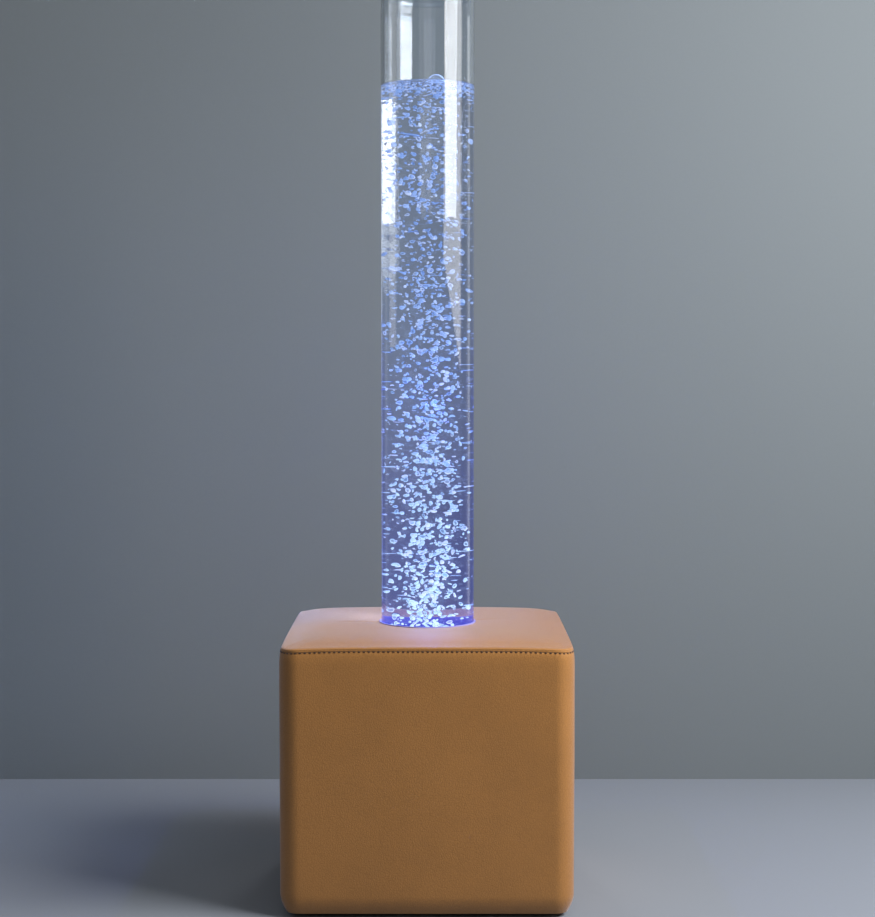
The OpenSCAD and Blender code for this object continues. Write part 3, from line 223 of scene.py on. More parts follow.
@contextmanager
def editing(obj):
    """Edit mode on one object, with all of its mesh selected at first."""
    only(obj)
    bpy.ops.object.mode_set(mode="EDIT")
    bpy.ops.mesh.select_all(action="SELECT")
    yield
    bpy.ops.object.mode_set(mode="OBJECT")


def joined(pieces, name):
    """The pieces as one object."""
    start()
    for piece in pieces:
        piece.select_set(True)
    bpy.context.view_layer.objects.active = pieces[0]
    bpy.ops.object.join()
    made = bpy.context.object
    made.name = made.data.name = name
    return made


def place(obj, points):
    """Moves the last vertices of a mesh in edit mode to these points."""
    skin = bmesh.from_edit_mesh(obj.data)
    skin.verts.ensure_lookup_table()
    for vertex, point in zip(skin.verts[-len(points):], points):
        vertex.co = point
    bmesh.update_edit_mesh(obj.data)


def select_rows(obj, rows, count):
    """Selects whole rings of a loft in edit mode, and nothing else."""
    bpy.ops.mesh.select_all(action="DESELECT")
    skin = bmesh.from_edit_mesh(obj.data)
    skin.verts.ensure_lookup_table()
    for row in rows:
        for vertex in skin.verts[row * count:(row + 1) * count]:
            vertex.select = True
    bpy.context.tool_settings.mesh_select_mode = (True, False, False)
    skin.select_flush(True)
    bmesh.update_edit_mesh(obj.data)


def loft(name, rings, closed=False, caps=False):
    """A skin through rings of equally many points, drawn out ring by ring from a circle."""
    start()
    count, last = len(rings[0]), len(rings) - 1
    middle = sum(rings[0], Vector()) / count
    bpy.ops.mesh.primitive_circle_add(vertices=count, radius=(rings[0][0] - middle).length, location=middle)
    obj = added(name)
    with editing(obj):
        place(obj, rings[0])
        for ring in rings[1:]:
            bpy.ops.mesh.extrude_edges_move()
            place(obj, ring)
        if closed:
            select_rows(obj, (0, last), count)
            bpy.ops.mesh.bridge_edge_loops()
        for row in (0, last) if caps else ():
            select_rows(obj, (row,), count)
            bpy.ops.mesh.edge_face_add()
        bpy.ops.mesh.select_all(action="SELECT")
        bpy.ops.mesh.normals_make_consistent(inside=False)
    return obj


def apply(obj, kind, **settings):
    """Adds a modifier, sets it and applies it."""
    only(obj)
    modifier = obj.modifiers.new(kind.lower(), kind)
    for name, value in settings.items():
        setattr(modifier, name, value)
    bpy.ops.object.modifier_apply(modifier=modifier.name)


def smooth(obj, angle):
    only(obj)
    bpy.ops.object.shade_smooth_by_angle(angle=math.radians(angle))
    return obj


def wear(obj, material, slot, *nodes):
    """Gives a finished piece its material and its body, and hides the CAD nodes that it stands for."""
    obj.data.materials.clear()
    obj.data.materials.append(material)
    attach(obj, BODY)
    if nodes:
        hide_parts(*nodes)
    return obj


def polar(radius, angle, z=0.0):
    return Vector((radius * math.cos(angle), radius * math.sin(angle), z))


def circle(radius, z, count):
    return [polar(radius, math.tau * i / count, z) for i in range(count)]


# ---------------------------------------------------------------- materials


class Value:
    """A socket's number, colour or vector; what is written on it becomes Math nodes."""

    def __init__(self, finish, socket):
        self.finish, self.socket = finish, socket

    def math(self, operation, *others, clamp=False):
        return self.finish.node("ShaderNodeMath", {"operation": operation, "use_clamp": clamp},
                                dict(enumerate([self, *others])))

    def __add__(self, other):
        return self.math("ADD", other)

    def __sub__(self, other):
        return self.math("SUBTRACT", other)

    def __mul__(self, other):
        return self.math("MULTIPLY", other)

    def __pow__(self, other):
        return self.math("POWER", other)

    def __abs__(self):
        return self.math("ABSOLUTE")

    __radd__ = __add__
    __rmul__ = __mul__

    def __rsub__(self, other):
        return self.finish.node("ShaderNodeMath", {"operation": "SUBTRACT"}, {0: other, 1: self})

    def clamp(self):
        return self.math("ADD", 0.0, clamp=True)

    def between(self, low, high, start=0.0, end=1.0):
        """This value's way from low to high, smoothed, as start to end."""
        return self.finish.node("ShaderNodeMapRange", {"interpolation_type": "SMOOTHSTEP"},
                                {"Value": self, "From Min": low, "From Max": high, "To Min": start, "To Max": end})

    def parts(self):
        """A vector's three numbers."""
        first = self.finish.node("ShaderNodeSeparateXYZ", {}, {0: self})
        return [Value(self.finish, socket) for socket in first.socket.node.outputs]


class Finish:
    """A material, or the world, being made."""

    def __init__(self, name, store=None):
        self.material = (bpy.data.materials if store is None else store).new(name)
        self.material.use_nodes = True
        self.tree = self.material.node_tree
        self.tree.nodes.clear()

    def node(self, kind, settings=None, inputs=None, out=0):
        """Adds any node: its settings first, then the values or links of its sockets."""
        made = self.tree.nodes.new(kind)
        for name, value in (settings or {}).items():
            setattr(made, name, value)
        for key, value in (inputs or {}).items():
            socket = made.inputs[key]
            if isinstance(value, Value):
                self.tree.links.new(value.socket, socket)
            elif hasattr(value, "__len__") and socket.type == "RGBA" and len(value) == 3:
                socket.default_value = (*value, 1.0)
            else:
                socket.default_value = value
        return Value(self, made.outputs[out]) if len(made.outputs) else None

    def place(self):
        return self.node("ShaderNodeTexCoord", out="Object")

    def normal(self, kind="Normal"):
        return self.node("ShaderNodeNewGeometry", out=kind).parts()

    def facing(self):
        return self.node("ShaderNodeLayerWeight", {}, {"Blend": 0.5}, "Facing")

    def shader(self, kind, **inputs):
        return self.node("ShaderNode" + kind, {}, {name.replace("_", " "): value for name, value in inputs.items()})

    def scaled(self, shade, factor):
        return self.node("ShaderNodeVectorMath", {"operation": "SCALE"}, {0: shade, "Scale": factor})

    def stretched(self, vector, scale):
        return self.node("ShaderNodeMapping", {}, {"Vector": vector, "Scale": scale})

    def noise(self, vector, scale, detail=2.0, rough=0.5, warp=0.0):
        return self.node("ShaderNodeTexNoise", {}, {"Vector": vector, "Scale": scale, "Detail": detail,
                                                    "Roughness": rough, "Distortion": warp})

    def cells(self, vector, scale, feature="F1"):
        return self.node("ShaderNodeTexVoronoi", {"feature": feature}, {"Vector": vector, "Scale": scale}, "Distance")

    def mix(self, factor, first, second, blend="MIX"):
        return self.node("ShaderNodeMix", {"data_type": "RGBA", "blend_type": blend},
                         {0: factor, 6: first, 7: second}, 2)

    def bump(self, height, distance, strength=1.0):
        return self.node("ShaderNodeBump", {}, {"Height": height, "Distance": distance, "Strength": strength})

    def blend(self, share, first, second):
        return self.node("ShaderNodeMixShader", {}, {0: share, 1: first, 2: second})

    def end(self, shader, kind="Material"):
        self.node("ShaderNodeOutput" + kind, {}, {"Surface": shader})
        return self.material

    def surface(self, values, see_through=None):
        """Ends the material in a Principled shader; see_through is the tint that shadow rays pass with."""
        shader = self.node("ShaderNodeBsdfPrincipled", {}, values)
        if see_through:
            clear = self.shader("BsdfTransparent", Color=see_through)
            shader = self.blend(self.node("ShaderNodeLightPath", out="Is Shadow Ray"), shader, clear)
        return self.end(shader)


def tint(shade, factor):
    return tuple(min(1.0, c * factor) for c in shade)


def leather_finish(cover):
    made = bpy.data.materials.get("grained_leather")
    if made:
        return made
    finish = Finish("grained_leather")
    at = finish.place()
    base = tuple(cover.leather)
    pebble = finish.cells(at, 1 / cover.grain, "DISTANCE_TO_EDGE").between(0.0, 0.32)
    wrinkle = finish.cells(finish.stretched(at, (1.0, 1.0, 0.8)), 0.31 / cover.grain, "DISTANCE_TO_EDGE")
    wrinkle = wrinkle.between(0.0, 0.16)
    pores = finish.noise(at, 3.2 / cover.grain, 1.0)
    broad = finish.noise(at, 7.0, 3.0, 0.55)
    cloud = finish.noise(at, 46.0, 2.0, 0.6)
    shade = finish.mix(broad.between(0.3, 0.7), tint(base, 0.93), tint(base, 1.06))
    shade = finish.mix(cloud.between(0.35, 0.75, 0.0, 0.35), shade, (base[0] * 1.1, base[1] * 1.08, base[2] * 1.03))
    shade = finish.mix((1 - pebble) * 0.34 + (1 - wrinkle) * 0.20, shade, tint(base, 0.62))
    height = pebble * 0.6 + wrinkle * 0.55 + pores * 0.2
    return finish.surface({
        "Base Color": shade,
        "Roughness": 0.34 + (1 - pebble) * 0.12 + broad * 0.06,
        "Specular IOR Level": 0.5,
        "Sheen Weight": 0.4,
        "Sheen Roughness": 0.4,
        "Sheen Tint": (0.86, 0.86, 1.0, 1.0),
        "Normal": finish.bump(height, 0.00022, 0.75),
    })


def thread_finish(cover):
    finish = Finish("stitch_thread")
    at = finish.place()
    twist = finish.node("ShaderNodeTexWave", {"bands_direction": "DIAGONAL"},
                        {"Vector": at, "Scale": 900.0, "Distortion": 1.0}, 1)
    shade = finish.mix(twist, tint(cover.thread, 0.7), tint(cover.thread, 1.35))
    return finish.surface({"Base Color": shade, "Roughness": 0.62 + twist * 0.12, "Sheen Weight": 0.3,
                           "Normal": finish.bump(twist, 0.0001)})


def foam_finish(cover):
    finish = Finish("open_foam")
    at = finish.place()
    pores = finish.cells(at, 620.0).between(0.1, 0.7)
    skin = finish.noise(at, 30.0, 3.0)
    shade = finish.mix(pores * 0.75 + skin * 0.25, tint(cover.foam, 0.78), tint(cover.foam, 1.05))
    return finish.surface({"Base Color": shade, "Roughness": 0.9, "Specular IOR Level": 0.2,
                           "Normal": finish.bump(pores, 0.0006)})


def plywood_finish(name, across):
    """Birch ply whose plies are stacked along one axis: 0, 1 or 2."""
    finish = Finish(name)
    at = finish.place()
    scale = [18.0, 18.0, 18.0]
    scale[0 if across else 2] = 1.6
    grain = finish.noise(finish.stretched(at, tuple(scale)), 5.0, 4.0, 0.6, 1.6)
    fibre = finish.noise(finish.stretched(at, tuple(9 * s for s in scale)), 6.0, 2.0)
    face = finish.mix(grain.between(0.35, 0.68), srgb(201, 170, 122), srgb(226, 203, 160))
    face = finish.mix(fibre.between(0.4, 0.8, 0.0, 0.35), face, srgb(176, 140, 94))
    ply = (at.parts()[across] * (math.pi / 0.0015)).math("SINE").between(-0.5, 0.5)
    edge = finish.mix(ply, srgb(150, 112, 70), srgb(222, 198, 152))
    sawn = abs(finish.normal("True Normal")[across]).between(0.5, 0.7)
    return finish.surface({
        "Base Color": finish.mix(sawn, edge, face),
        "Roughness": 0.62 + fibre * 0.15,
        "Specular IOR Level": 0.3,
        "Normal": finish.bump(fibre * 0.5 + ply * (1 - sawn), 0.0003, 0.6),
    })


def moulded_finish(name, shade, rough, texture=420.0, depth=0.00006, clear=0.0):
    """Moulded plastic or rubber with a fine spark-eroded texture and handling marks."""
    finish = Finish(name)
    at = finish.place()
    spark = finish.noise(at, texture * 4, 2.0, 0.6)
    marks = finish.noise(at, 24.0, 4.0, 0.62)
    tone = finish.mix(marks.between(0.35, 0.7), tint(shade, 0.9), tint(shade, 1.08))
    return finish.surface({"Base Color": finish.mix(spark.between(0.4, 0.7, 0.0, 0.3), tone, tint(shade, 0.82)),
                           "Roughness": rough + marks * 0.12, "Transmission Weight": clear,
                           "Normal": finish.bump(spark, depth, 0.7)})


def brushed_finish(name, shade, rough, lines):
    """Metal with fine lines from turning or rolling, and a few dull patches."""
    finish = Finish(name)
    at = finish.place()
    line = finish.noise(finish.stretched(at, lines), 5.0, 3.0, 0.7)
    patch = finish.noise(at, 40.0, 3.0, 0.6)
    tone = finish.mix(patch.between(0.3, 0.75), tint(shade, 0.82), tint(shade, 1.06))
    return finish.surface({"Base Color": tone, "Metallic": 1.0, "Roughness": rough + line * 0.16 + patch * 0.10,
                           "Normal": finish.bump(line, 0.00004, 0.6)})


def circuit_finish(name, mask, trace):
    """Solder mask with copper tracks under it."""
    finish = Finish(name)
    at = finish.place()
    track = finish.node("ShaderNodeTexBrick", {"offset": 0.37, "squash": 1.4, "squash_frequency": 3},
                        {"Vector": at, "Color1": (0.0, 0.0, 0.0), "Color2": (0.1, 0.1, 0.1), "Mortar": (1.0, 1.0, 1.0),
                         "Scale": 60.0, "Mortar Size": 0.012, "Brick Width": 0.35, "Row Height": 0.16}, "Fac")
    dust = finish.noise(at, 300.0, 2.0)
    shade = finish.mix(track, mask, trace)
    return finish.surface({"Base Color": finish.mix(dust.between(0.5, 0.8, 0.0, 0.2), shade, tint(mask, 0.7)),
                           "Roughness": 0.3 + dust * 0.15, "Normal": finish.bump(track, 0.00005)})


def acrylic_finish(name="clear_acrylic"):
    column = bpy.context.scene.lamp_column
    finish = Finish(name)
    at = finish.place()
    wipe = finish.noise(finish.stretched(at, (30.0, 30.0, 3.0)), 4.0, 3.0)
    return finish.surface({
        "Base Color": tuple(column.clear), "Roughness": wipe.between(0.45, 0.8, 0.0, 0.03), "IOR": 1.49,
        "Transmission Weight": 1.0,
    }, see_through=tint(column.clear, 0.98))


def water_finish(column):
    """Clear water with painted light: a painted glow in the lamps' colour, strongest at its foot, a painted lavender
    cast low down and painted darker blue where the lower water is seen edge on.
    """
    finish = Finish("lit_water")
    at = finish.place()
    up = at.parts()[2]
    drift = finish.noise(at, 14.0, 2.0)
    rise = up.between(WATER_LOW.z, WATER_HIGH.z)
    # painted glow in the lamps' colour, strongest at the foot
    glow = (1 - rise) ** 1.5 * (column.glow_foot - column.glow_top) + column.glow_top
    glow = glow * (0.8 + drift * 0.4)
    light = finish.scaled(tuple(column.glow), glow)
    high = up.between((WATER_LOW.z + WATER_HIGH.z) / 2, WATER_HIGH.z - 0.3)
    # painted shade: darker blue where the lower water is seen edge on
    deep = finish.facing().between(0.225, 0.285) * (1 - high) * 0.8
    shade = finish.mix(rise.between(0.1, 0.75), tuple(column.water_painted_low_cast), tuple(column.water))
    return finish.surface({
        "Base Color": finish.mix(deep, shade, tuple(column.edge)),
        "Roughness": 0.0, "IOR": 1.33, "Transmission Weight": 1.0,
        "Emission Color": light, "Emission Strength": 1.0,
    }, see_through=tuple(column.water))


def bubble_finish(column):
    """Air in lit water, painted as the lamps below light it: a painted glow, painted shade on the upper sides, painted
    highlights and the painted dark rim that an air bubble shows.
    """
    finish = Finish("lit_bubbles")
    up = finish.place().parts()[2]
    rise = up.between(CROWN_Z - 0.05, WATER_HIGH.z - 0.2)
    tone = finish.node("ShaderNodeAttribute", {"attribute_name": "tone"}, out="Fac")
    facing = finish.facing()
    # painted shade: undersides lit and upper sides darker, as if lit by the lamps below
    under = finish.normal()[2].between(-0.8, 0.7, 1.0, 0.0)
    dim = tone.between(0.2, 0.45, 0.8, 0.0) * (rise * 0.6 + 0.4)
    body = finish.mix((rise * 0.9 + tone * 0.5 - 0.2).clamp(), tuple(column.bubble_painted_glow_low), tuple(column.bubble_painted_glow_high))
    body = finish.mix(1.0, body, finish.mix(dim, (1.0, 1.0, 1.0), (0.42, 0.53, 0.78)), "MULTIPLY")
    # painted highlight on the bubbles of highest tone
    body = finish.mix(tone.between(0.72, 0.8, 0.0, 0.7), body, tuple(column.bubble_painted_highlight))
    # painted shade on the upper sides
    body = finish.mix(under.between(0.2, 1.0, 0.3, 0.0), body, tuple(column.bubble_painted_shade))
    # painted glow: the bubbles emit, more strongly towards the foot
    lit = finish.shader("BsdfPrincipled", Base_Color=srgb(44, 58, 84), Roughness=0.12, Emission_Strength=1.0,
                        Emission_Color=finish.scaled(body, (1 - rise) ** 2.0 * 0.7 + 1.0))
    # painted dark rim where the bubble is seen edge on
    deep = finish.shader("BsdfPrincipled", Base_Color=srgb(20, 34, 70), Roughness=0.08, Emission_Strength=0.6,
                         Emission_Color=tuple(column.bubble_painted_shade))
    clear = finish.shader("BsdfTransparent", Color=(0.72, 0.84, 1.0))
    hollow = facing.between(0.10, 0.45, 1.0, 0.0) * (tone * 7.3).math("FRACT").between(0.4, 0.7)
    return finish.end(finish.blend(facing.between(0.5, 0.82), finish.blend(hollow * 0.8, lit, clear), deep))


def film_finish(column):
    """A bubble's thin skin, which shows mostly where it is seen edge on."""
    finish = Finish("bubble_film")
    ripple = finish.noise(finish.place(), 160.0, 2.0)
    return finish.surface({
        "Base Color": srgb(150, 176, 226), "Roughness": 0.04,
        "Alpha": (finish.facing().between(0.45, 0.97) * 0.9 + ripple * 0.12).clamp(),
        # painted glow of the skin
        "Emission Color": tuple(column.bubble_painted_glow_high), "Emission Strength": 0.5})


# ---------------------------------------------------------------- upholstery


def outline(cover, inset, count):
    """Points round the plinth, inset from its sides, in the same columns at any inset.
    They are even along the full outline, and start at the lower end of the right side."""
    radius = max(cover.corner_r - inset, 0.002)
    arc = math.pi / 2 * cover.corner_r
    sides = [2 * (half - cover.corner_r) for half in (HALF_D, HALF_W)] * 2
    total = sum(sides) + 4 * arc

    def corner(k, share):
        sign_x, sign_y = ((1, 1), (-1, 1), (-1, -1), (1, -1))[k % 4]
        middle = Vector((sign_x * (HALF_W - inset - radius), sign_y * (HALF_D - inset - radius)))
        return middle + polar(radius, math.pi / 2 * (k + share)).xy

    points = []
    for i in range(count):
        s = total * i / count
        for k, side in enumerate(sides):    # each side, then the corner at its end
            if s < side:
                points.append(corner(k - 1, 1.0).lerp(corner(k, 0.0), s / side))
                break
            if s < side + arc:
                points.append(corner(k, (s - side) / arc))
                break
            s -= side + arc
    return points


def cornering(point):
    """0 along the sides, rising to 1 at the corners."""
    return min(abs(point.x) / HALF_W, abs(point.y) / HALF_D) ** 4


def side_inset(cover, z):
    """How far the leather lies in from the plinth's full width: drawn in at the seam, rolled in at the foot."""
    drawn = cover.pinch * math.exp(-(CROWN_Z - cover.seam_drop - z) / 0.007)
    return drawn + cover.tuck * max(0.0, 1 - (z - BASE_Z) / FOOT_H) ** 2


def side_ring(cover, inset, z, pull=0.0, puff=(0.0,)):
    """Ring round the plinth; puff adds to its reach, column by column."""
    ring = []
    for i, point in enumerate(outline(cover, inset, columns(cover))):
        drop = pull * cover.corner_pull * cornering(point)
        point = point + point.normalized() * puff[i % len(puff)]
        ring.append(Vector((point.x, point.y, z - drop)))
    return ring


def uneven(rings):
    """Moves points in and out by a fraction of a millimetre, as stretched leather over foam is."""
    for ring in rings:
        for point in ring:
            out = Vector((point.x, point.y, 0.0)).normalized()
            point += out * 0.0004 * noise.noise(point * 9.0 + Vector((3.1, 7.7, 1.3)))
    return rings


def columns(cover):
    return cover.stitches * 2


def puffs(cover, share):
    """The leather's height between two stitches and at a stitch."""
    return (cover.pucker * 0.5 * share, -cover.pucker * share)


def top_levels(cover):
    """Heights of the seam, of the foot of the rolled edge, and of its upper end."""
    seam_z = CROWN_Z - cover.seam_drop
    return seam_z, seam_z + 0.0033, CROWN_Z - cover.crown_h


def creases(cover, point):
    """Depth of the shallow folds where the leather is drawn to the tube."""
    depth = 0.0
    for at, reach, deep in ((186, 0.080, 1.0), (8, 0.045, 0.6), (232, 0.05, 0.35), (318, 0.05, 0.3)):
        way = polar(1.0, math.radians(at))
        along = point.x * way.x + point.y * way.y - LINER_R
        across = point.x * way.y - point.y * way.x
        if along > -0.02:
            away = max(along, 0.0)
            depth += deep * cover.crease * math.exp(-(across / (0.005 + 0.1 * away)) ** 2 - (away / reach) ** 2)
    return depth


def crown_drop(cover, t, rim, point):
    """How far the leather lies below the crown at a share t of the way from the hole to the rim."""
    drop = cover.crown_h * t ** 5 + 0.0015 * (1 - t) ** 8 + cover.corner_pull * cornering(rim) * t ** 3
    return drop + creases(cover, point) * math.sin(math.pi * min(1.0, t * 1.15) ** 0.5)


class LampBand(bpy.types.Operator):
    """Leather band round the plinth, gathered at its stitches and turned under the base"""

    bl_idname = "lamp.leather_band"
    bl_label = "Leather band"

    def execute(self, context):
        cover = context.scene.lamp_cover
        seam_z = CROWN_Z - cover.seam_drop
        rings = [side_ring(cover, cover.pinch + inset, seam_z - drop, 1.0, puffs(cover, share))
                 for inset, drop, share in ((0.0003, 0.00002, 0.6), (0.0001, 0.0001, 0.9), (0.0, 0.0003, 1.0),
                                            (0.0, 0.0008, 1.0))]
        for drop, share in ((0.0013, 1.0), (0.0018, 1.0), (0.0024, 0.8), (0.0032, 0.5), (0.0045, 0.25), (0.0065, 0.1),
                            *((drop, 0.0) for drop in (0.009, 0.012, 0.017, 0.025, 0.040, 0.070, 0.110, 0.160, 0.210,
                                                       0.260, 0.300, 0.335, 0.360))):
            z = seam_z - drop
            rings.append(side_ring(cover, side_inset(cover, z), z, max(0.0, 1 - drop / 0.040), puffs(cover, share)))
        for share in (1.0, 0.85, 0.7, 0.55, 0.4, 0.27, 0.15, 0.06, 0.0):
            z = BASE_Z + FOOT_H * share
            rings.append(side_ring(cover, side_inset(cover, z), z))
        turned = [(cover.leather_t * (1 - math.cos(turn)), cover.leather_t * math.sin(turn))
                  for turn in (math.pi / 6, math.pi / 3, math.pi / 2)]
        turned += [(cover.hem * 0.5, cover.leather_t), (cover.hem, cover.leather_t)]
        rings = uneven(rings) + [side_ring(cover, cover.tuck + inset, BASE_Z - drop) for inset, drop in turned]
        band = loft("leather_band", rings)
        apply(band, "SOLIDIFY", thickness=cover.leather_t, offset=-1.0, use_even_offset=True)
        self.cut_recess(band)
        smooth(band, 60)
        wear(band, leather_finish(cover), "leather", "cover_band")
        return {"FINISHED"}

    def cut_recess(self, band):
        """Opens the leather for the rim of the connection panel."""
        gap = 0.0002
        low, high = RIM_LOW, RIM_HIGH
        start()
        bpy.ops.mesh.primitive_cube_add(size=1.0, location=((low.x + high.x) / 2, HALF_D, (low.z + high.z) / 2),
                                        scale=(high.x - low.x + 2 * gap, 0.0064, high.z - low.z + 2 * gap))
        cutter = added("recess_cutter")
        with editing(cutter):
            skin = bmesh.from_edit_mesh(cutter.data)
            for edge in skin.edges:
                a, b = (v.co for v in edge.verts)
                edge.select = abs(a.y - b.y) > 0.004
            bmesh.update_edit_mesh(cutter.data)
            bpy.ops.mesh.bevel(offset=0.011 + gap, segments=6)
        apply(band, "BOOLEAN", operation="DIFFERENCE", object=cutter, solver="EXACT")
        bpy.data.objects.remove(cutter, do_unlink=True)


class LampTop(bpy.types.Operator):
    """Leather top with its rolled edge, crowned over the foam and dipped at the tube's hole"""

    bl_idname = "lamp.leather_top"
    bl_label = "Leather top"

    def execute(self, context):
        cover = context.scene.lamp_cover
        seam_z, foot_z, edge_z = top_levels(cover)
        rings = [side_ring(cover, cover.pinch + inset, seam_z + rise, 1.0, puffs(cover, share))
                 for inset, rise, share in ((0.0002, 0.00002, 0.6), (0.0, 0.0002, 0.8), (-0.0001, 0.0006, 0.8),
                                            (-0.0003, 0.0012, 0.5), (-0.0003, 0.0019, 0.3), (0.0, 0.0026, 0.2),
                                            (0.0005, 0.0031, 0.1))]
        for angle in (86, 80, 73, 66, 58, 50, 41, 32, 22, 11, 0):
            turn = math.radians(angle)
            rings.append(side_ring(cover, cover.pinch + (cover.roll_w - cover.pinch) * (1 - math.sin(turn)),
                                   edge_z - (edge_z - foot_z) * (1 - math.cos(turn)), 1.0))
        rings += [self.crown_ring(cover, t) for t in (0.9, 0.8, 0.68, 0.56, 0.44, 0.33, 0.24, 0.16, 0.10, 0.06, 0.03,
                                                      0.012, 0.0)]
        rings.append([Vector((p.x * 0.9985, p.y * 0.9985, p.z - 0.0009)) for p in rings[-1]])
        top = loft("leather_top", rings)
        self.face_up(top)
        apply(top, "SOLIDIFY", thickness=cover.leather_t, offset=-1.0, use_even_offset=True)
        smooth(top, 60)
        wear(top, leather_finish(cover), "leather", "cover_top")
        return {"FINISHED"}

    def crown_ring(self, cover, t):
        """Ring at a share t of the way from the tube's hole to the rolled edge."""
        ring = []
        for rim in outline(cover, cover.roll_w, columns(cover)):
            flat = (rim.normalized() * (LINER_R + 0.0004)).lerp(rim, t)
            ring.append(Vector((flat.x, flat.y, CROWN_Z - crown_drop(cover, t, rim, flat))))
        return ring

    def face_up(self, top):
        """The crown's faces look up."""
        if max(top.data.polygons, key=lambda face: face.center.z).normal.z < 0:
            with editing(top):
                bpy.ops.mesh.flip_normals()


class LampStitching(bpy.types.Operator):
    """One thread stitch, copied along the seam of the band"""

    bl_idname = "lamp.stitching"
    bl_label = "Stitching"

    def execute(self, context):
        cover = context.scene.lamp_cover
        thread = self.one_stitch(cover)
        z = CROWN_Z - cover.seam_drop - cover.stitch_drop
        line = side_ring(cover, side_inset(cover, z), z, 1.0)
        slant = Matrix.Rotation(math.radians(9), 4, "Y")
        stitches = []
        for i in range(1, len(line), 2):
            along = (line[(i + 1) % len(line)] - line[i - 1]).normalized()
            out = along.cross(Vector((0.0, 0.0, 1.0))).normalized()
            turn = Matrix((along, out, out.cross(along))).transposed().to_4x4()
            stitch = thread.copy()
            stitch.data = thread.data.copy()
            stitch.data.transform(Matrix.Translation(line[i] - out * cover.pucker * 0.55) @ turn @ slant)
            context.collection.objects.link(stitch)
            stitches.append(stitch)
        bpy.data.objects.remove(thread, do_unlink=True)
        seam = joined(stitches, "stitching")
        smooth(seam, 70)
        wear(seam, thread_finish(cover), "leather")
        return {"FINISHED"}

    def one_stitch(self, cover):
        """A thread along X that comes up out of the leather (+Y is outward) and goes in again."""
        rings = []
        for step, width, rise in ((-1.0, 0.55, -1.6), (-0.82, 0.9, -0.25), (-0.4, 1.05, 0.45), (0.0, 1.0, 0.6),
                                  (0.4, 1.05, 0.45), (0.82, 0.9, -0.25), (1.0, 0.55, -1.6)):
            x, r = step * cover.stitch_len / 2, cover.stitch_r * width
            rings.append([Vector((x, cover.stitch_r * rise + p.x, p.y)) for p in circle(r, 0.0, 8)])
        return loft("one_stitch", rings, caps=True)


class LampFoam(bpy.types.Operator):
    """Foam pads under the leather, each grown from its CAD solid with softened edges"""

    bl_idname = "lamp.foam"
    bl_label = "Foam"

    def execute(self, context):
        cover = context.scene.lamp_cover
        material = foam_finish(cover)
        for node in ("foam_front", "foam_back", "foam_sides", "foam_top"):
            pad = solid_copy(node, node + "_pad")
            apply(pad, "REMESH", mode="VOXEL", voxel_size=0.004)
            with editing(pad):
                bpy.ops.mesh.vertices_smooth(factor=0.5, repeat=2)
                bpy.ops.transform.shrink_fatten(value=-0.0004)
            if node == "foam_top":
                self.sink(cover, pad)
            smooth(pad, 50)
            wear(pad, material, "foam", node)
        return {"FINISHED"}

    def sink(self, cover, pad):
        """Keeps the top pad under the leather that is drawn over it."""
        _, foot_z, edge_z = top_levels(cover)
        for vertex in pad.data.vertices:
            flat = vertex.co.xy
            if flat.length > LINER_R:
                rim = self.rim_point(cover, flat.normalized())
                t = min(1.0, (flat.length - LINER_R) / (rim.length - LINER_R))
                over = min(1.0, max(0.0, flat.length - rim.length) / (cover.roll_w - cover.pinch))
                drop = crown_drop(cover, t, rim, flat) + (edge_z - foot_z) * (1 - math.sqrt(1 - over * over))
                vertex.co.z = min(vertex.co.z, CROWN_Z - drop - cover.leather_t - FOAM_GAP)

    def rim_point(self, cover, way):
        """Where a way out from the tube's axis meets the rolled edge's inner line."""
        half = Vector((HALF_W - cover.roll_w, HALF_D - cover.roll_w))
        radius = cover.corner_r - cover.roll_w
        corner = half - Vector((radius, radius))
        side = Vector((abs(way.x), abs(way.y)))
        reach = min(half.x / max(side.x, 1e-6), half.y / max(side.y, 1e-6))
        if side.x * reach > corner.x and side.y * reach > corner.y:
            along = side.dot(corner)
            reach = along + math.sqrt(max(0.0, along * along - corner.length_squared + radius * radius))
        return way * reach


def solid_copy(node, name):
    """A new object with a merged copy of a CAD node's mesh."""
    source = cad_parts[node]
    piece = bpy.data.objects.new(name, source.data.copy())
    bpy.context.collection.objects.link(piece)
    piece.data.name = name
    with editing(piece):
        bpy.ops.mesh.remove_doubles(threshold=0.00001)
    return piece


# ---------------------------------------------------------------- water column


class LampTube(bpy.types.Operator):
    """Clear tube with polished, rounded rims"""

    bl_idname = "lamp.tube"
    bl_label = "Tube"

    def execute(self, context):
        edge, inner = 0.0008, BORE_R + 0.00005
        profile = []
        for r, z, side, up in ((TUBE_R, TUBE_LOW.z, -1, 1), (TUBE_R, TUBE_HIGH.z, -1, -1),
                               (inner, TUBE_HIGH.z, 1, -1), (inner, TUBE_LOW.z, 1, 1)):
            arc = [(r + side * edge * (1 - math.cos(a)), z + up * edge * (1 - math.sin(a)))
                   for a in (0, math.pi / 4, math.pi / 2)]
            # the last ring keeps the long wall's normals level
            arc = [(r, z + up * 4 * edge)] + arc
            profile += arc[::-1] if side * up < 0 else arc
        tube = loft("clear_tube", [circle(r, z, 192) for r, z in profile], closed=True)
        smooth(tube, 30)
        wear(tube, acrylic_finish(), "acrylic", "tube")
        return {"FINISHED"}


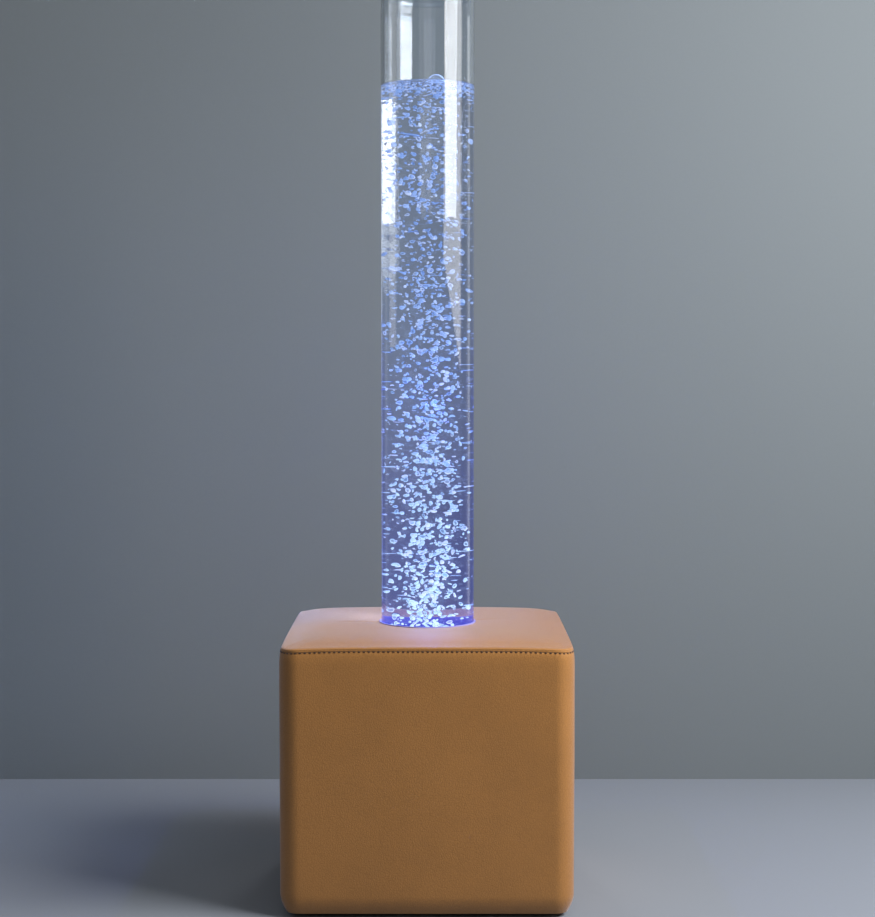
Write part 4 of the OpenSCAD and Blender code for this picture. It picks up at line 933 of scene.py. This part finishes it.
class LampWater(bpy.types.Operator):
    """Water in the tube, with a restless surface and a meniscus"""

    bl_idname = "lamp.water"
    bl_label = "Water"

    def execute(self, context):
        column = context.scene.lamp_column
        # Just inside the tube's wall, so that light goes from acrylic straight into water
        wet_r = BORE_R + 0.00035
        low, high = WATER_LOW.z + 0.00005, WATER_HIGH.z - column.calm
        rings = [circle(r, low, 128) for r in (0.004, 0.03, wet_r - 0.0016, wet_r - 0.0006)]
        rings += [circle(wet_r, z, 128) for z in (low + 0.0006, low + 0.0022, (low + high) / 2, high - 0.0012,
                                                  high + 0.0004)]
        rng = random.Random(column.seed)
        phase = [rng.random() * math.tau for _ in range(4)]
        for r in (wet_r - 0.0012, 0.062, 0.052, 0.042, 0.032, 0.022, 0.012, 0.004):
            ring = circle(r, high, 128)
            for p in ring:
                angle, share = math.atan2(p.y, p.x), 1 - r / wet_r
                p.z += (0.0022 * share + 0.0008 * share * math.sin(3 * angle + phase[0])
                        + 0.0006 * math.sin(5 * angle + 60 * r + phase[1]) * share
                        + 0.0005 * math.sin(r * 300 + phase[2]) - 0.0006)
            rings.append(ring)
        water = loft("water_column", rings, caps=True)
        smooth(water, 50)
        wear(water, water_finish(column), "water", "water")
        return {"FINISHED"}


def bubble_shapes(rng):
    """Bubble forms: one small ball, flattened, hollowed below, bent and narrowed to one side in edit mode."""
    shapes = []
    for i in range(14):
        start()
        bpy.ops.mesh.primitive_uv_sphere_add(segments=8, ring_count=6, radius=1.0)
        ball = added(f"bubble_form_{i}")
        with editing(ball):
            bpy.ops.transform.resize(value=(1.0, rng.uniform(0.55, 1.0), rng.uniform(0.34, 0.85)))
            skin = bmesh.from_edit_mesh(ball.data)
            hollow, bend, narrow = rng.uniform(0.0, 0.6), rng.uniform(-0.45, 0.45), rng.uniform(0.0, 0.5)
            for vertex in skin.verts:
                x, y, z = vertex.co
                if z < 0:
                    z *= 1 - hollow * (1 - min(1.0, x * x + y * y))
                thin = 1 - narrow * x
                vertex.co = (x, y * thin, z * thin + bend * x * x)
            bmesh.update_edit_mesh(ball.data)
        shapes.append(([v.co.copy() for v in ball.data.vertices], [tuple(f.vertices) for f in ball.data.polygons]))
        bpy.data.objects.remove(ball, do_unlink=True)
    return shapes


def bubble_cloud(name, spots, shapes, rng):
    """One mesh of many bubbles, each with a tone of its own: spots are (place, half width, tilt).
    One with hardly any tilt is spread flat, as those that slide up the wall are."""
    points, faces, tones = [], [], []
    for middle, size, tilt in spots:
        form, sides = shapes[rng.randrange(len(shapes))]
        turn = Euler((rng.uniform(-tilt, tilt), rng.uniform(-tilt, tilt), rng.uniform(0, math.tau))).to_matrix()
        if tilt < 0.2:
            turn = turn @ Matrix.Diagonal((rng.uniform(1.2, 3.2), 1.2, 0.6))
        base, tone = len(points), rng.random()
        points += [middle + turn @ (p * size) for p in form]
        tones += [tone] * len(form)
        faces += [tuple(base + i for i in side) for side in sides]
    mesh = bpy.data.meshes.new(name)
    mesh.from_pydata(points, [], faces)
    mesh.attributes.new("tone", "FLOAT", "POINT").data.foreach_set("value", tones)
    cloud = bpy.data.objects.new(name, mesh)
    bpy.context.collection.objects.link(cloud)
    return smooth(cloud, 80)


def packed_bubbles():
    """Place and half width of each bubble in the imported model."""
    copy = solid_copy("bubbles", "bubble_spots")
    skin = bmesh.new()
    skin.from_mesh(copy.data)
    spots = []
    for seed in skin.verts:
        group, edge = [], [seed]
        while edge:
            vertex = edge.pop()
            if not vertex.tag:
                vertex.tag = True
                group.append(vertex.co.copy())
                edge += [side.other_vert(vertex) for side in vertex.link_edges]
        if group:
            middle = sum(group, Vector()) / len(group)
            spots.append((middle, max((p - middle).length for p in group)))
    skin.free()
    bpy.data.objects.remove(copy, do_unlink=True)
    return spots


class LampBubbles(bpy.types.Operator):
    """Bubbles: the plume over the diffuser, strays over the whole bore, and the froth on top"""

    bl_idname = "lamp.bubbles"
    bl_label = "Bubbles"

    def execute(self, context):
        column = context.scene.lamp_column
        rng = random.Random(column.seed)
        shapes = bubble_shapes(rng)
        material = bubble_finish(column)
        plume = [(spot, size * rng.uniform(0.8, 1.25), 0.9) for spot, size in packed_bubbles()]
        plume += [self.spot(column, rng, rng.random() ** 1.3, 0.0) for _ in range(column.bubbles)]
        strays = [self.spot(column, rng, rng.random(), 1.0) for _ in range(column.strays)]
        plume = [(spot, min(size, column.bubble_r * 1.45), squeeze) for spot, size, squeeze in plume]

        def cloud(name, spots, *nodes):
            made = wear(bubble_cloud(name, spots, shapes, rng), material, "air_bubbles", *nodes)
            made.visible_shadow = False

        cloud("plume_bubbles", plume, "bubbles")
        cloud("stray_bubbles", strays)
        cloud("surface_froth", self.froth(column, rng))
        self.dome(column)
        return {"FINISHED"}

    def dome(self, column):
        """One large bubble that has come up at the wall and stands out of the water."""
        size, across, level = column.dome_r, 0.0136, WATER_HIGH.z - column.calm
        start()
        bpy.ops.mesh.primitive_uv_sphere_add(segments=40, ring_count=24, radius=size,
                                             location=(across, -(BORE_R - 0.004 - size), level - 0.001))
        dome = added("surface_bubble")
        with editing(dome):
            bpy.ops.transform.resize(value=(1.0, 1.0, 0.85), center_override=(across, 0.0, level - 0.002))
            bpy.ops.mesh.bisect(plane_co=(0.0, 0.0, level - 0.003), plane_no=(0.0, 0.0, 1.0), use_fill=True,
                                clear_inner=True)
        smooth(dome, 50)
        wear(dome, film_finish(column), "air_bubbles").visible_shadow = False

    def spot(self, column, rng, rise, stray):
        """A bubble at a share of the height: near the axis in the plume, anywhere as a stray."""
        low, high = DIFFUSER_TOP + 0.004, WATER_HIGH.z - column.calm - 0.006
        size = column.bubble_r * rng.lognormvariate(-0.22 * stray, 0.36) * (1.15 - 0.3 * rise)
        limit = BORE_R - 0.003 - size
        angle = rng.uniform(0, math.tau)
        r = limit * math.sqrt(rng.random()) if stray else math.inf
        while r > limit:
            r = column.plume_r * (1 + 0.75 * rise) * math.sqrt(-2 * math.log(1 - rng.random()))
        tilt = 0.5 if stray else 1.3
        if stray and r > 0.84 * limit:
            r, size, tilt = r - 0.6 * size, 0.9 * size, 0.1
        return polar(r, angle, low + (high - low) * rise), size, tilt

    def froth(self, column, rng):
        """Bubbles that float under the surface, thicker along the wall."""
        spots = []
        for _ in range(column.froth):
            size = column.bubble_r * rng.lognormvariate(-0.6, 0.35)
            angle = rng.uniform(0, math.tau)
            r = (BORE_R - 0.003 - size) * rng.random() ** 0.4
            depth = min(0.0005 + rng.expovariate(1 / 0.005), 0.024)
            spots.append((polar(r, angle, WATER_HIGH.z - column.calm - depth - size), size, 0.4))
        return spots


# ---------------------------------------------------------------- hoses and wires


def run_point(run, t):
    a, b, c, d = run
    return (1 - t) ** 3 * a + 3 * (1 - t) ** 2 * t * b + 3 * (1 - t) * t * t * c + t ** 3 * d


def run_rings(run, across, lead, radius, sides, steps):
    """Circles along a run of four control points with straight leads; across is a way the run never takes."""
    first, last = (run[1] - run[0]).normalized(), (run[3] - run[2]).normalized()
    line = [(run[0] - first * lead, first)]
    for i in range(steps + 1):
        t = i / steps
        ahead = run_point(run, min(1.0, t + 0.001)) - run_point(run, max(0.0, t - 0.001))
        line.append((run_point(run, t), ahead.normalized()))
    line.append((run[3] + last * lead, last))
    rings = []
    for point, ahead in line:
        u = ahead.cross(across).normalized()
        w = ahead.cross(u)
        rings.append([point + p.x * u + p.y * w for p in circle(radius, 0.0, sides)])
    return rings


def millimetres(*points):
    return [Vector(p) / 1000 for p in points]


class LampHoses(bpy.types.Operator):
    """Air and drain hoses: clear soft tubes, with their bore, over their spigots"""

    bl_idname = "lamp.hoses"
    bl_label = "Hoses"

    def execute(self, context):
        inside = context.scene.lamp_inside
        material = moulded_finish("soft_hose", tuple(inside.hose), 0.3, 500.0, 0.00003, clear=0.25)
        for name, run, across in (
                ("air_hose", ((-62, 0, 152), (-132, 0, 152), (-45, -102, 173), (-45, -102, 115)), (0.6, 1, 0.3)),
                ("drain_hose", ((28, 0, 152), (88, 0, 152), (50, 85, 133), (50, 145, 133)), (0, 0, 1))):
            rings = [run_rings(millimetres(*run), Vector(across), 0.014, radius, 24, 48)
                     for radius in (inside.hose_r - 0.0001, inside.hose_bore)]
            hose = loft("soft_" + name, rings[0] + rings[1][::-1], closed=True)
            smooth(hose, 50)
            wear(hose, material, "hose", name)
        return {"FINISHED"}


class LampWires(bpy.types.Operator):
    """Four jacketed leads between the panel, the lamps, the pump and the controller"""

    bl_idname = "lamp.wires"
    bl_label = "Wires"

    def execute(self, context):
        inside = context.scene.lamp_inside
        back, side, pump = Vector((-104, 96, 40)), Vector((-49, 50, 40)), Vector((-60, -56, 59))
        jack, switch, sink = Vector((-58, 180, 85)), Vector((-22, 178, 95)), Vector((0, 30, 219))
        runs = (
            ((jack, jack - Vector((0, 30, 0)), back + Vector((16, 34, 0)), back + Vector((16, 0, 0))), (0.3, 0, 1)),
            ((switch, switch - Vector((0, 34, 0)), back + Vector((36, 40, 0)), back + Vector((36, 0, 0))), (0.3, 0, 1)),
            ((sink, sink - Vector((0, 0, 80)), side + Vector((50, 0, 4)), side + Vector((0, 0, 4))), (0, 1, 0)),
            ((side - Vector((0, 8, 4)), side + Vector((34, -8, -4)), pump + Vector((0, 44, 0)), pump), (0, 0, 1)),
        )
        leads = [loft(f"lead_{i}", run_rings(millimetres(*run), Vector(across), 0.003, inside.wire_r, 16, 60),
                      caps=True) for i, (run, across) in enumerate(runs)]
        wires = joined(leads, "jacketed_leads")
        smooth(wires, 50)
        wear(wires, moulded_finish("lead_jacket", tuple(inside.jacket), 0.5), "wire_sheath", "wiring")
        return {"FINISHED"}


# ---------------------------------------------------------------- finishes of the CAD nodes

def lit_liner_finish(name):
    """White liner painted with the lamps' light: a painted blue glow inside and at its rim, and a painted lavender cast
    outside.
    """
    finish = Finish(name)
    at = finish.place()
    x, y, z = at.parts()
    away = finish.normal("True Normal")
    inward = (x * away[0] + y * away[1]) * (-1 / LINER_R)
    inside = inward.between(0.2, 0.8)
    speck = finish.noise(at, 120.0, 2.0)
    low = z.between(CROWN_Z - 0.16, CROWN_Z, 1.0, 0.7)
    rim = (z + finish.noise(at, 60.0, 1.0) * 0.004).between(CROWN_Z - 0.010, CROWN_Z + 0.003)
    # painted glow inside: deep blue low down, paler blue at the rim
    glow = finish.mix(inside * low, (0.0, 0.0, 0.0), finish.mix(rim, srgb(40, 66, 205), srgb(112, 112, 232)))
    # painted lavender cast of the lamps' light on the white outside
    painted_lavender_outside = finish.mix(speck, srgb(140, 134, 196), srgb(158, 152, 210))
    # inside darkened to near black so that the painted glow alone shows
    return finish.surface({"Base Color": finish.mix(inside, painted_lavender_outside, srgb(10, 16, 44)),
                           "Roughness": 0.35 + speck * 0.1, "Emission Color": glow, "Emission Strength": 1.0})


def lamp_finish(name):
    """Coloured lamps under clear lenses."""
    finish = Finish(name)
    speck = finish.noise(finish.place(), 900.0, 1.0)
    shade = finish.mix(finish.normal()[2].between(0.4, 0.9), (0.0, 0.0, 0.0), srgb(120, 150, 255))
    return finish.surface({"Base Color": srgb(225, 226, 220), "Roughness": 0.25 + speck * 0.1,
                           "Emission Color": shade, "Emission Strength": 4.0})


FINISHES = (    # material, function and its values, CAD nodes
    ("ply_level", plywood_finish, (2,), ("base_panel", "top_panel", "shelf")),
    ("ply_front", plywood_finish, (1,), ("front_panel", "back_panel")),
    ("ply_side", plywood_finish, (0,), ("side_panels",)),
    ("softwood", plywood_finish, (2,), ("corner_posts", "shelf_battens")),
    ("white_moulded", moulded_finish, (srgb(226, 228, 230), 0.38),
     ("socket_ring", "inlet_port", "port_nut", "air_diffuser", "tee", "colour_button")),
    ("black_moulded", moulded_finish, (srgb(38, 39, 42), 0.45, 420.0, 0.00012),
     ("glides", "check_valve", "pump_base", "pump_valve_box", "controller_case", "connection_panel", "switch_frame",
      "dc_inlet", "valve_knob")),
    ("grey_moulded", moulded_finish, (srgb(92, 96, 102), 0.5), ("pump_cover", "controller_lid")),
    ("red_moulded", moulded_finish, (srgb(176, 34, 38), 0.3), ("switch_rocker",)),
    ("moulded_rubber", moulded_finish, (srgb(46, 48, 52), 0.75, 240.0, 0.0001),
     ("tube_gasket", "port_washer", "pump_feet", "pump_diaphragm")),
    ("bright_steel", brushed_finish, (srgb(186, 189, 194), 0.26, (300.0, 20.0, 300.0)),
     ("frame_screws", "valve_nut", "valve_plug", "pump_core", "pump_arm", "panel_screws", "panel_nuts",
      "button_body")),
    ("turned_brass", brushed_finish, (srgb(206, 168, 92), 0.28, (300.0, 300.0, 30.0)), ("valve_body", "valve_cap")),
    ("wound_copper", brushed_finish, (srgb(190, 112, 72), 0.34, (20.0, 400.0, 400.0)), ("pump_coil",)),
    ("rolled_aluminium", brushed_finish, (srgb(176, 180, 186), 0.36, (40.0, 300.0, 300.0)), ("heat_sink",)),
    ("white_circuit", circuit_finish, (srgb(236, 238, 240), srgb(222, 226, 228)), ("led_board",)),
    ("green_circuit", circuit_finish, (srgb(38, 96, 62), srgb(70, 138, 92)), ("controller_board",)),
    ("lit_liner", lit_liner_finish, (), ("tube_liner",)),
    ("lit_lamps", lamp_finish, (), ("leds",)),
    ("cast_acrylic", acrylic_finish, (), ("tube_plug", "lid")),
)


class LampFinishes(bpy.types.Operator):
    """Materials of the pieces that keep their CAD shape"""

    bl_idname = "lamp.finishes"
    bl_label = "Finishes"

    def execute(self, context):
        for name, finish, values, nodes in FINISHES:
            material = finish(name, *values)
            for node in nodes:
                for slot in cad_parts[node].material_slots:
                    slot.material = material
        return {"FINISHED"}


# ---------------------------------------------------------------- studio


def soft_lamp(name, where, towards, size, watts, roll=0.0):
    """A rectangular softbox."""
    start()
    bpy.ops.object.light_add(type="AREA", location=where)
    lamp = bpy.context.object
    lamp.name = name
    turn = (Vector(towards) - Vector(where)).to_track_quat("-Z", "Y").to_matrix()
    lamp.rotation_euler = (turn @ Matrix.Rotation(roll, 3, "Z")).to_euler()
    lamp.data.shape = "RECTANGLE"
    lamp.data.size, lamp.data.size_y = size
    lamp.data.energy = watts
    return lamp


class LampCamera(bpy.types.Operator):
    """Camera at the photograph's viewing angle"""

    bl_idname = "lamp.camera"
    bl_label = "Camera"

    def execute(self, context):
        studio = context.scene.lamp_studio
        start()
        bpy.ops.object.camera_add(location=studio.eye, rotation=(math.pi / 2 - studio.pitch, 0.0, 0.0))
        camera = context.object
        camera.name = "camera"
        camera.data.lens = studio.lens
        camera.data.sensor_width = 36.0
        context.scene.camera = camera
        return {"FINISHED"}


class LampStudio(bpy.types.Operator):
    """Floor, wall, softboxes and surroundings"""

    bl_idname = "lamp.studio"
    bl_label = "Studio"

    def execute(self, context):
        studio = context.scene.lamp_studio
        start()
        bpy.ops.mesh.primitive_plane_add(size=16.0, location=(0.0, 0.0, 0.0))
        floor = added("floor")
        floor.data.materials.append(self.plain_finish("floor", studio.floor, 0.85))
        start()
        bpy.ops.mesh.primitive_plane_add(size=16.0, location=(0.0, studio.wall_y, 4.0),
                                         rotation=(math.pi / 2, 0.0, 0.0))
        wall = added("wall")
        wall.data.materials.append(self.plain_finish("wall", studio.wall, 0.7, one_sided=True))
        for name, where, towards, size, watts, unseen in (
                ("key_softbox", (1.6, -0.85, 1.75), (0.0, 0.0, 0.7), (1.2, 1.2), studio.key, "visible_glossy"),
                ("fill_softbox", (-2.1, 0.64, 1.6), (0.0, 0.0, 0.9), (1.9, 1.5), studio.fill, None),
                ("top_softbox", (0.2, -0.6, 3.0), (0.0, 0.0, 0.3), (1.6, 1.6), studio.above, None),
                ("front_softbox", (-0.3, -3.2, 1.9), (0.0, 0.0, 0.5), (1.8, 1.2), studio.front, "visible_glossy"),
                ("back_softbox", (0.0, 0.66, 0.25), (0.0, 0.225, 0.22), (0.3, 0.2), studio.back, "visible_glossy"),
                ("glint_softbox", (2.07, -0.88, 1.62), (0.0, 0.0, 1.62), (2.1, 1.3), studio.glint, "visible_diffuse"),
                ("right_rim_strip", (1.0, 0.62, 0.8), (0.0, 0.0, 0.8), (0.2, 1.6), studio.rim, "visible_diffuse"),
                ("left_rim_strip", (-1.0, 0.62, 0.8), (0.0, 0.0, 0.8), (0.2, 1.6), studio.rim * 0.2,
                 "visible_diffuse")):
            lamp = soft_lamp(name, where, towards, size, watts, math.radians(-9) if name == "glint_softbox" else 0.0)
            if unseen:
                setattr(lamp, unseen, False)
        bpy.data.objects["glint_softbox"].data.color = (1.0, 0.96, 0.9)
        bpy.data.objects["back_softbox"].data.spread = math.radians(60)
        for name, height, watts in (("foot_glow", CROWN_Z + 0.09, studio.glow_low),
                                    ("tube_glow", 0.78, studio.glow_high)):
            start()
            bpy.ops.object.light_add(type="POINT", radius=0.035, location=(0.0, 0.0, height))
            glow = bpy.context.object
            glow.name = name
            glow.data.energy, glow.data.color = watts, (0.16, 0.26, 1.0)
            glow.visible_transmission = glow.visible_camera = False
            glow.visible_glossy = name == "foot_glow"
        context.scene.world = self.surroundings(studio)
        context.scene.view_settings.view_transform = "Standard"
        return {"FINISHED"}

    def surroundings(self, studio):
        """Soft light from all round, and the wall's grey where glass and metal show the room."""
        finish = Finish("surroundings", bpy.data.worlds)
        light = finish.shader("Background", Color=srgb(150, 158, 166), Strength=studio.world)
        room = finish.shader("Background", Color=srgb(112, 119, 124), Strength=1.0)
        glossy, through = (finish.node("ShaderNodeLightPath", out=f"Is {kind} Ray")
                           for kind in ("Glossy", "Transmission"))
        return finish.end(finish.blend((glossy + through).clamp(), light, room), "World")

    def plain_finish(self, name, shade, rough, one_sided=False):
        finish = Finish(name)
        speck = finish.noise(finish.place(), 160.0, 2.0)
        shader = finish.shader("BsdfPrincipled", Base_Color=finish.mix(speck, tint(shade, 0.98), tint(shade, 1.02)),
                               Roughness=rough, Specular_IOR_Level=0.08)
        if one_sided:
            behind = finish.node("ShaderNodeNewGeometry", out="Backfacing")
            shader = finish.blend(behind, shader, finish.shader("BsdfTransparent"))
        return finish.end(shader)


# ---------------------------------------------------------------- panel and start

STEPS = (LampCamera, LampFoam, LampBand, LampTop, LampStitching, LampTube, LampWater, LampBubbles, LampHoses,
         LampWires, LampFinishes, LampStudio)


class LAMP_PT_pieces(bpy.types.Panel):
    """The lamp's pieces, in the order in which they are made"""

    bl_label = "Bubble lamp"
    bl_space_type = "VIEW_3D"
    bl_region_type = "UI"
    bl_category = "Bubble lamp"

    def draw(self, context):
        for group in GROUPS:
            settings = getattr(context.scene, group)
            column = self.layout.box().column()
            for name in settings.__annotations__:
                column.prop(settings, name)
        for step in STEPS:
            self.layout.operator(step.bl_idname)


GROUPS = {"lamp_cover": LampCoverSettings, "lamp_column": LampColumnSettings, "lamp_inside": LampInsideSettings,
          "lamp_studio": LampStudioSettings}
CLASSES = (*GROUPS.values(), *STEPS, LAMP_PT_pieces)


def register():
    for each in CLASSES:
        bpy.utils.register_class(each)
    for name, group in GROUPS.items():
        setattr(bpy.types.Scene, name, PointerProperty(type=group))


def unregister():
    for name in GROUPS:
        delattr(bpy.types.Scene, name)
    for each in reversed(CLASSES):
        bpy.utils.unregister_class(each)


def main():
    register()
    for step in STEPS:
        group, name = step.bl_idname.split(".")
        if getattr(getattr(bpy.ops, group), name)() != {"FINISHED"}:
            raise RuntimeError(f"{step.bl_label} was not finished")


if __name__ == "__main__":
    main()
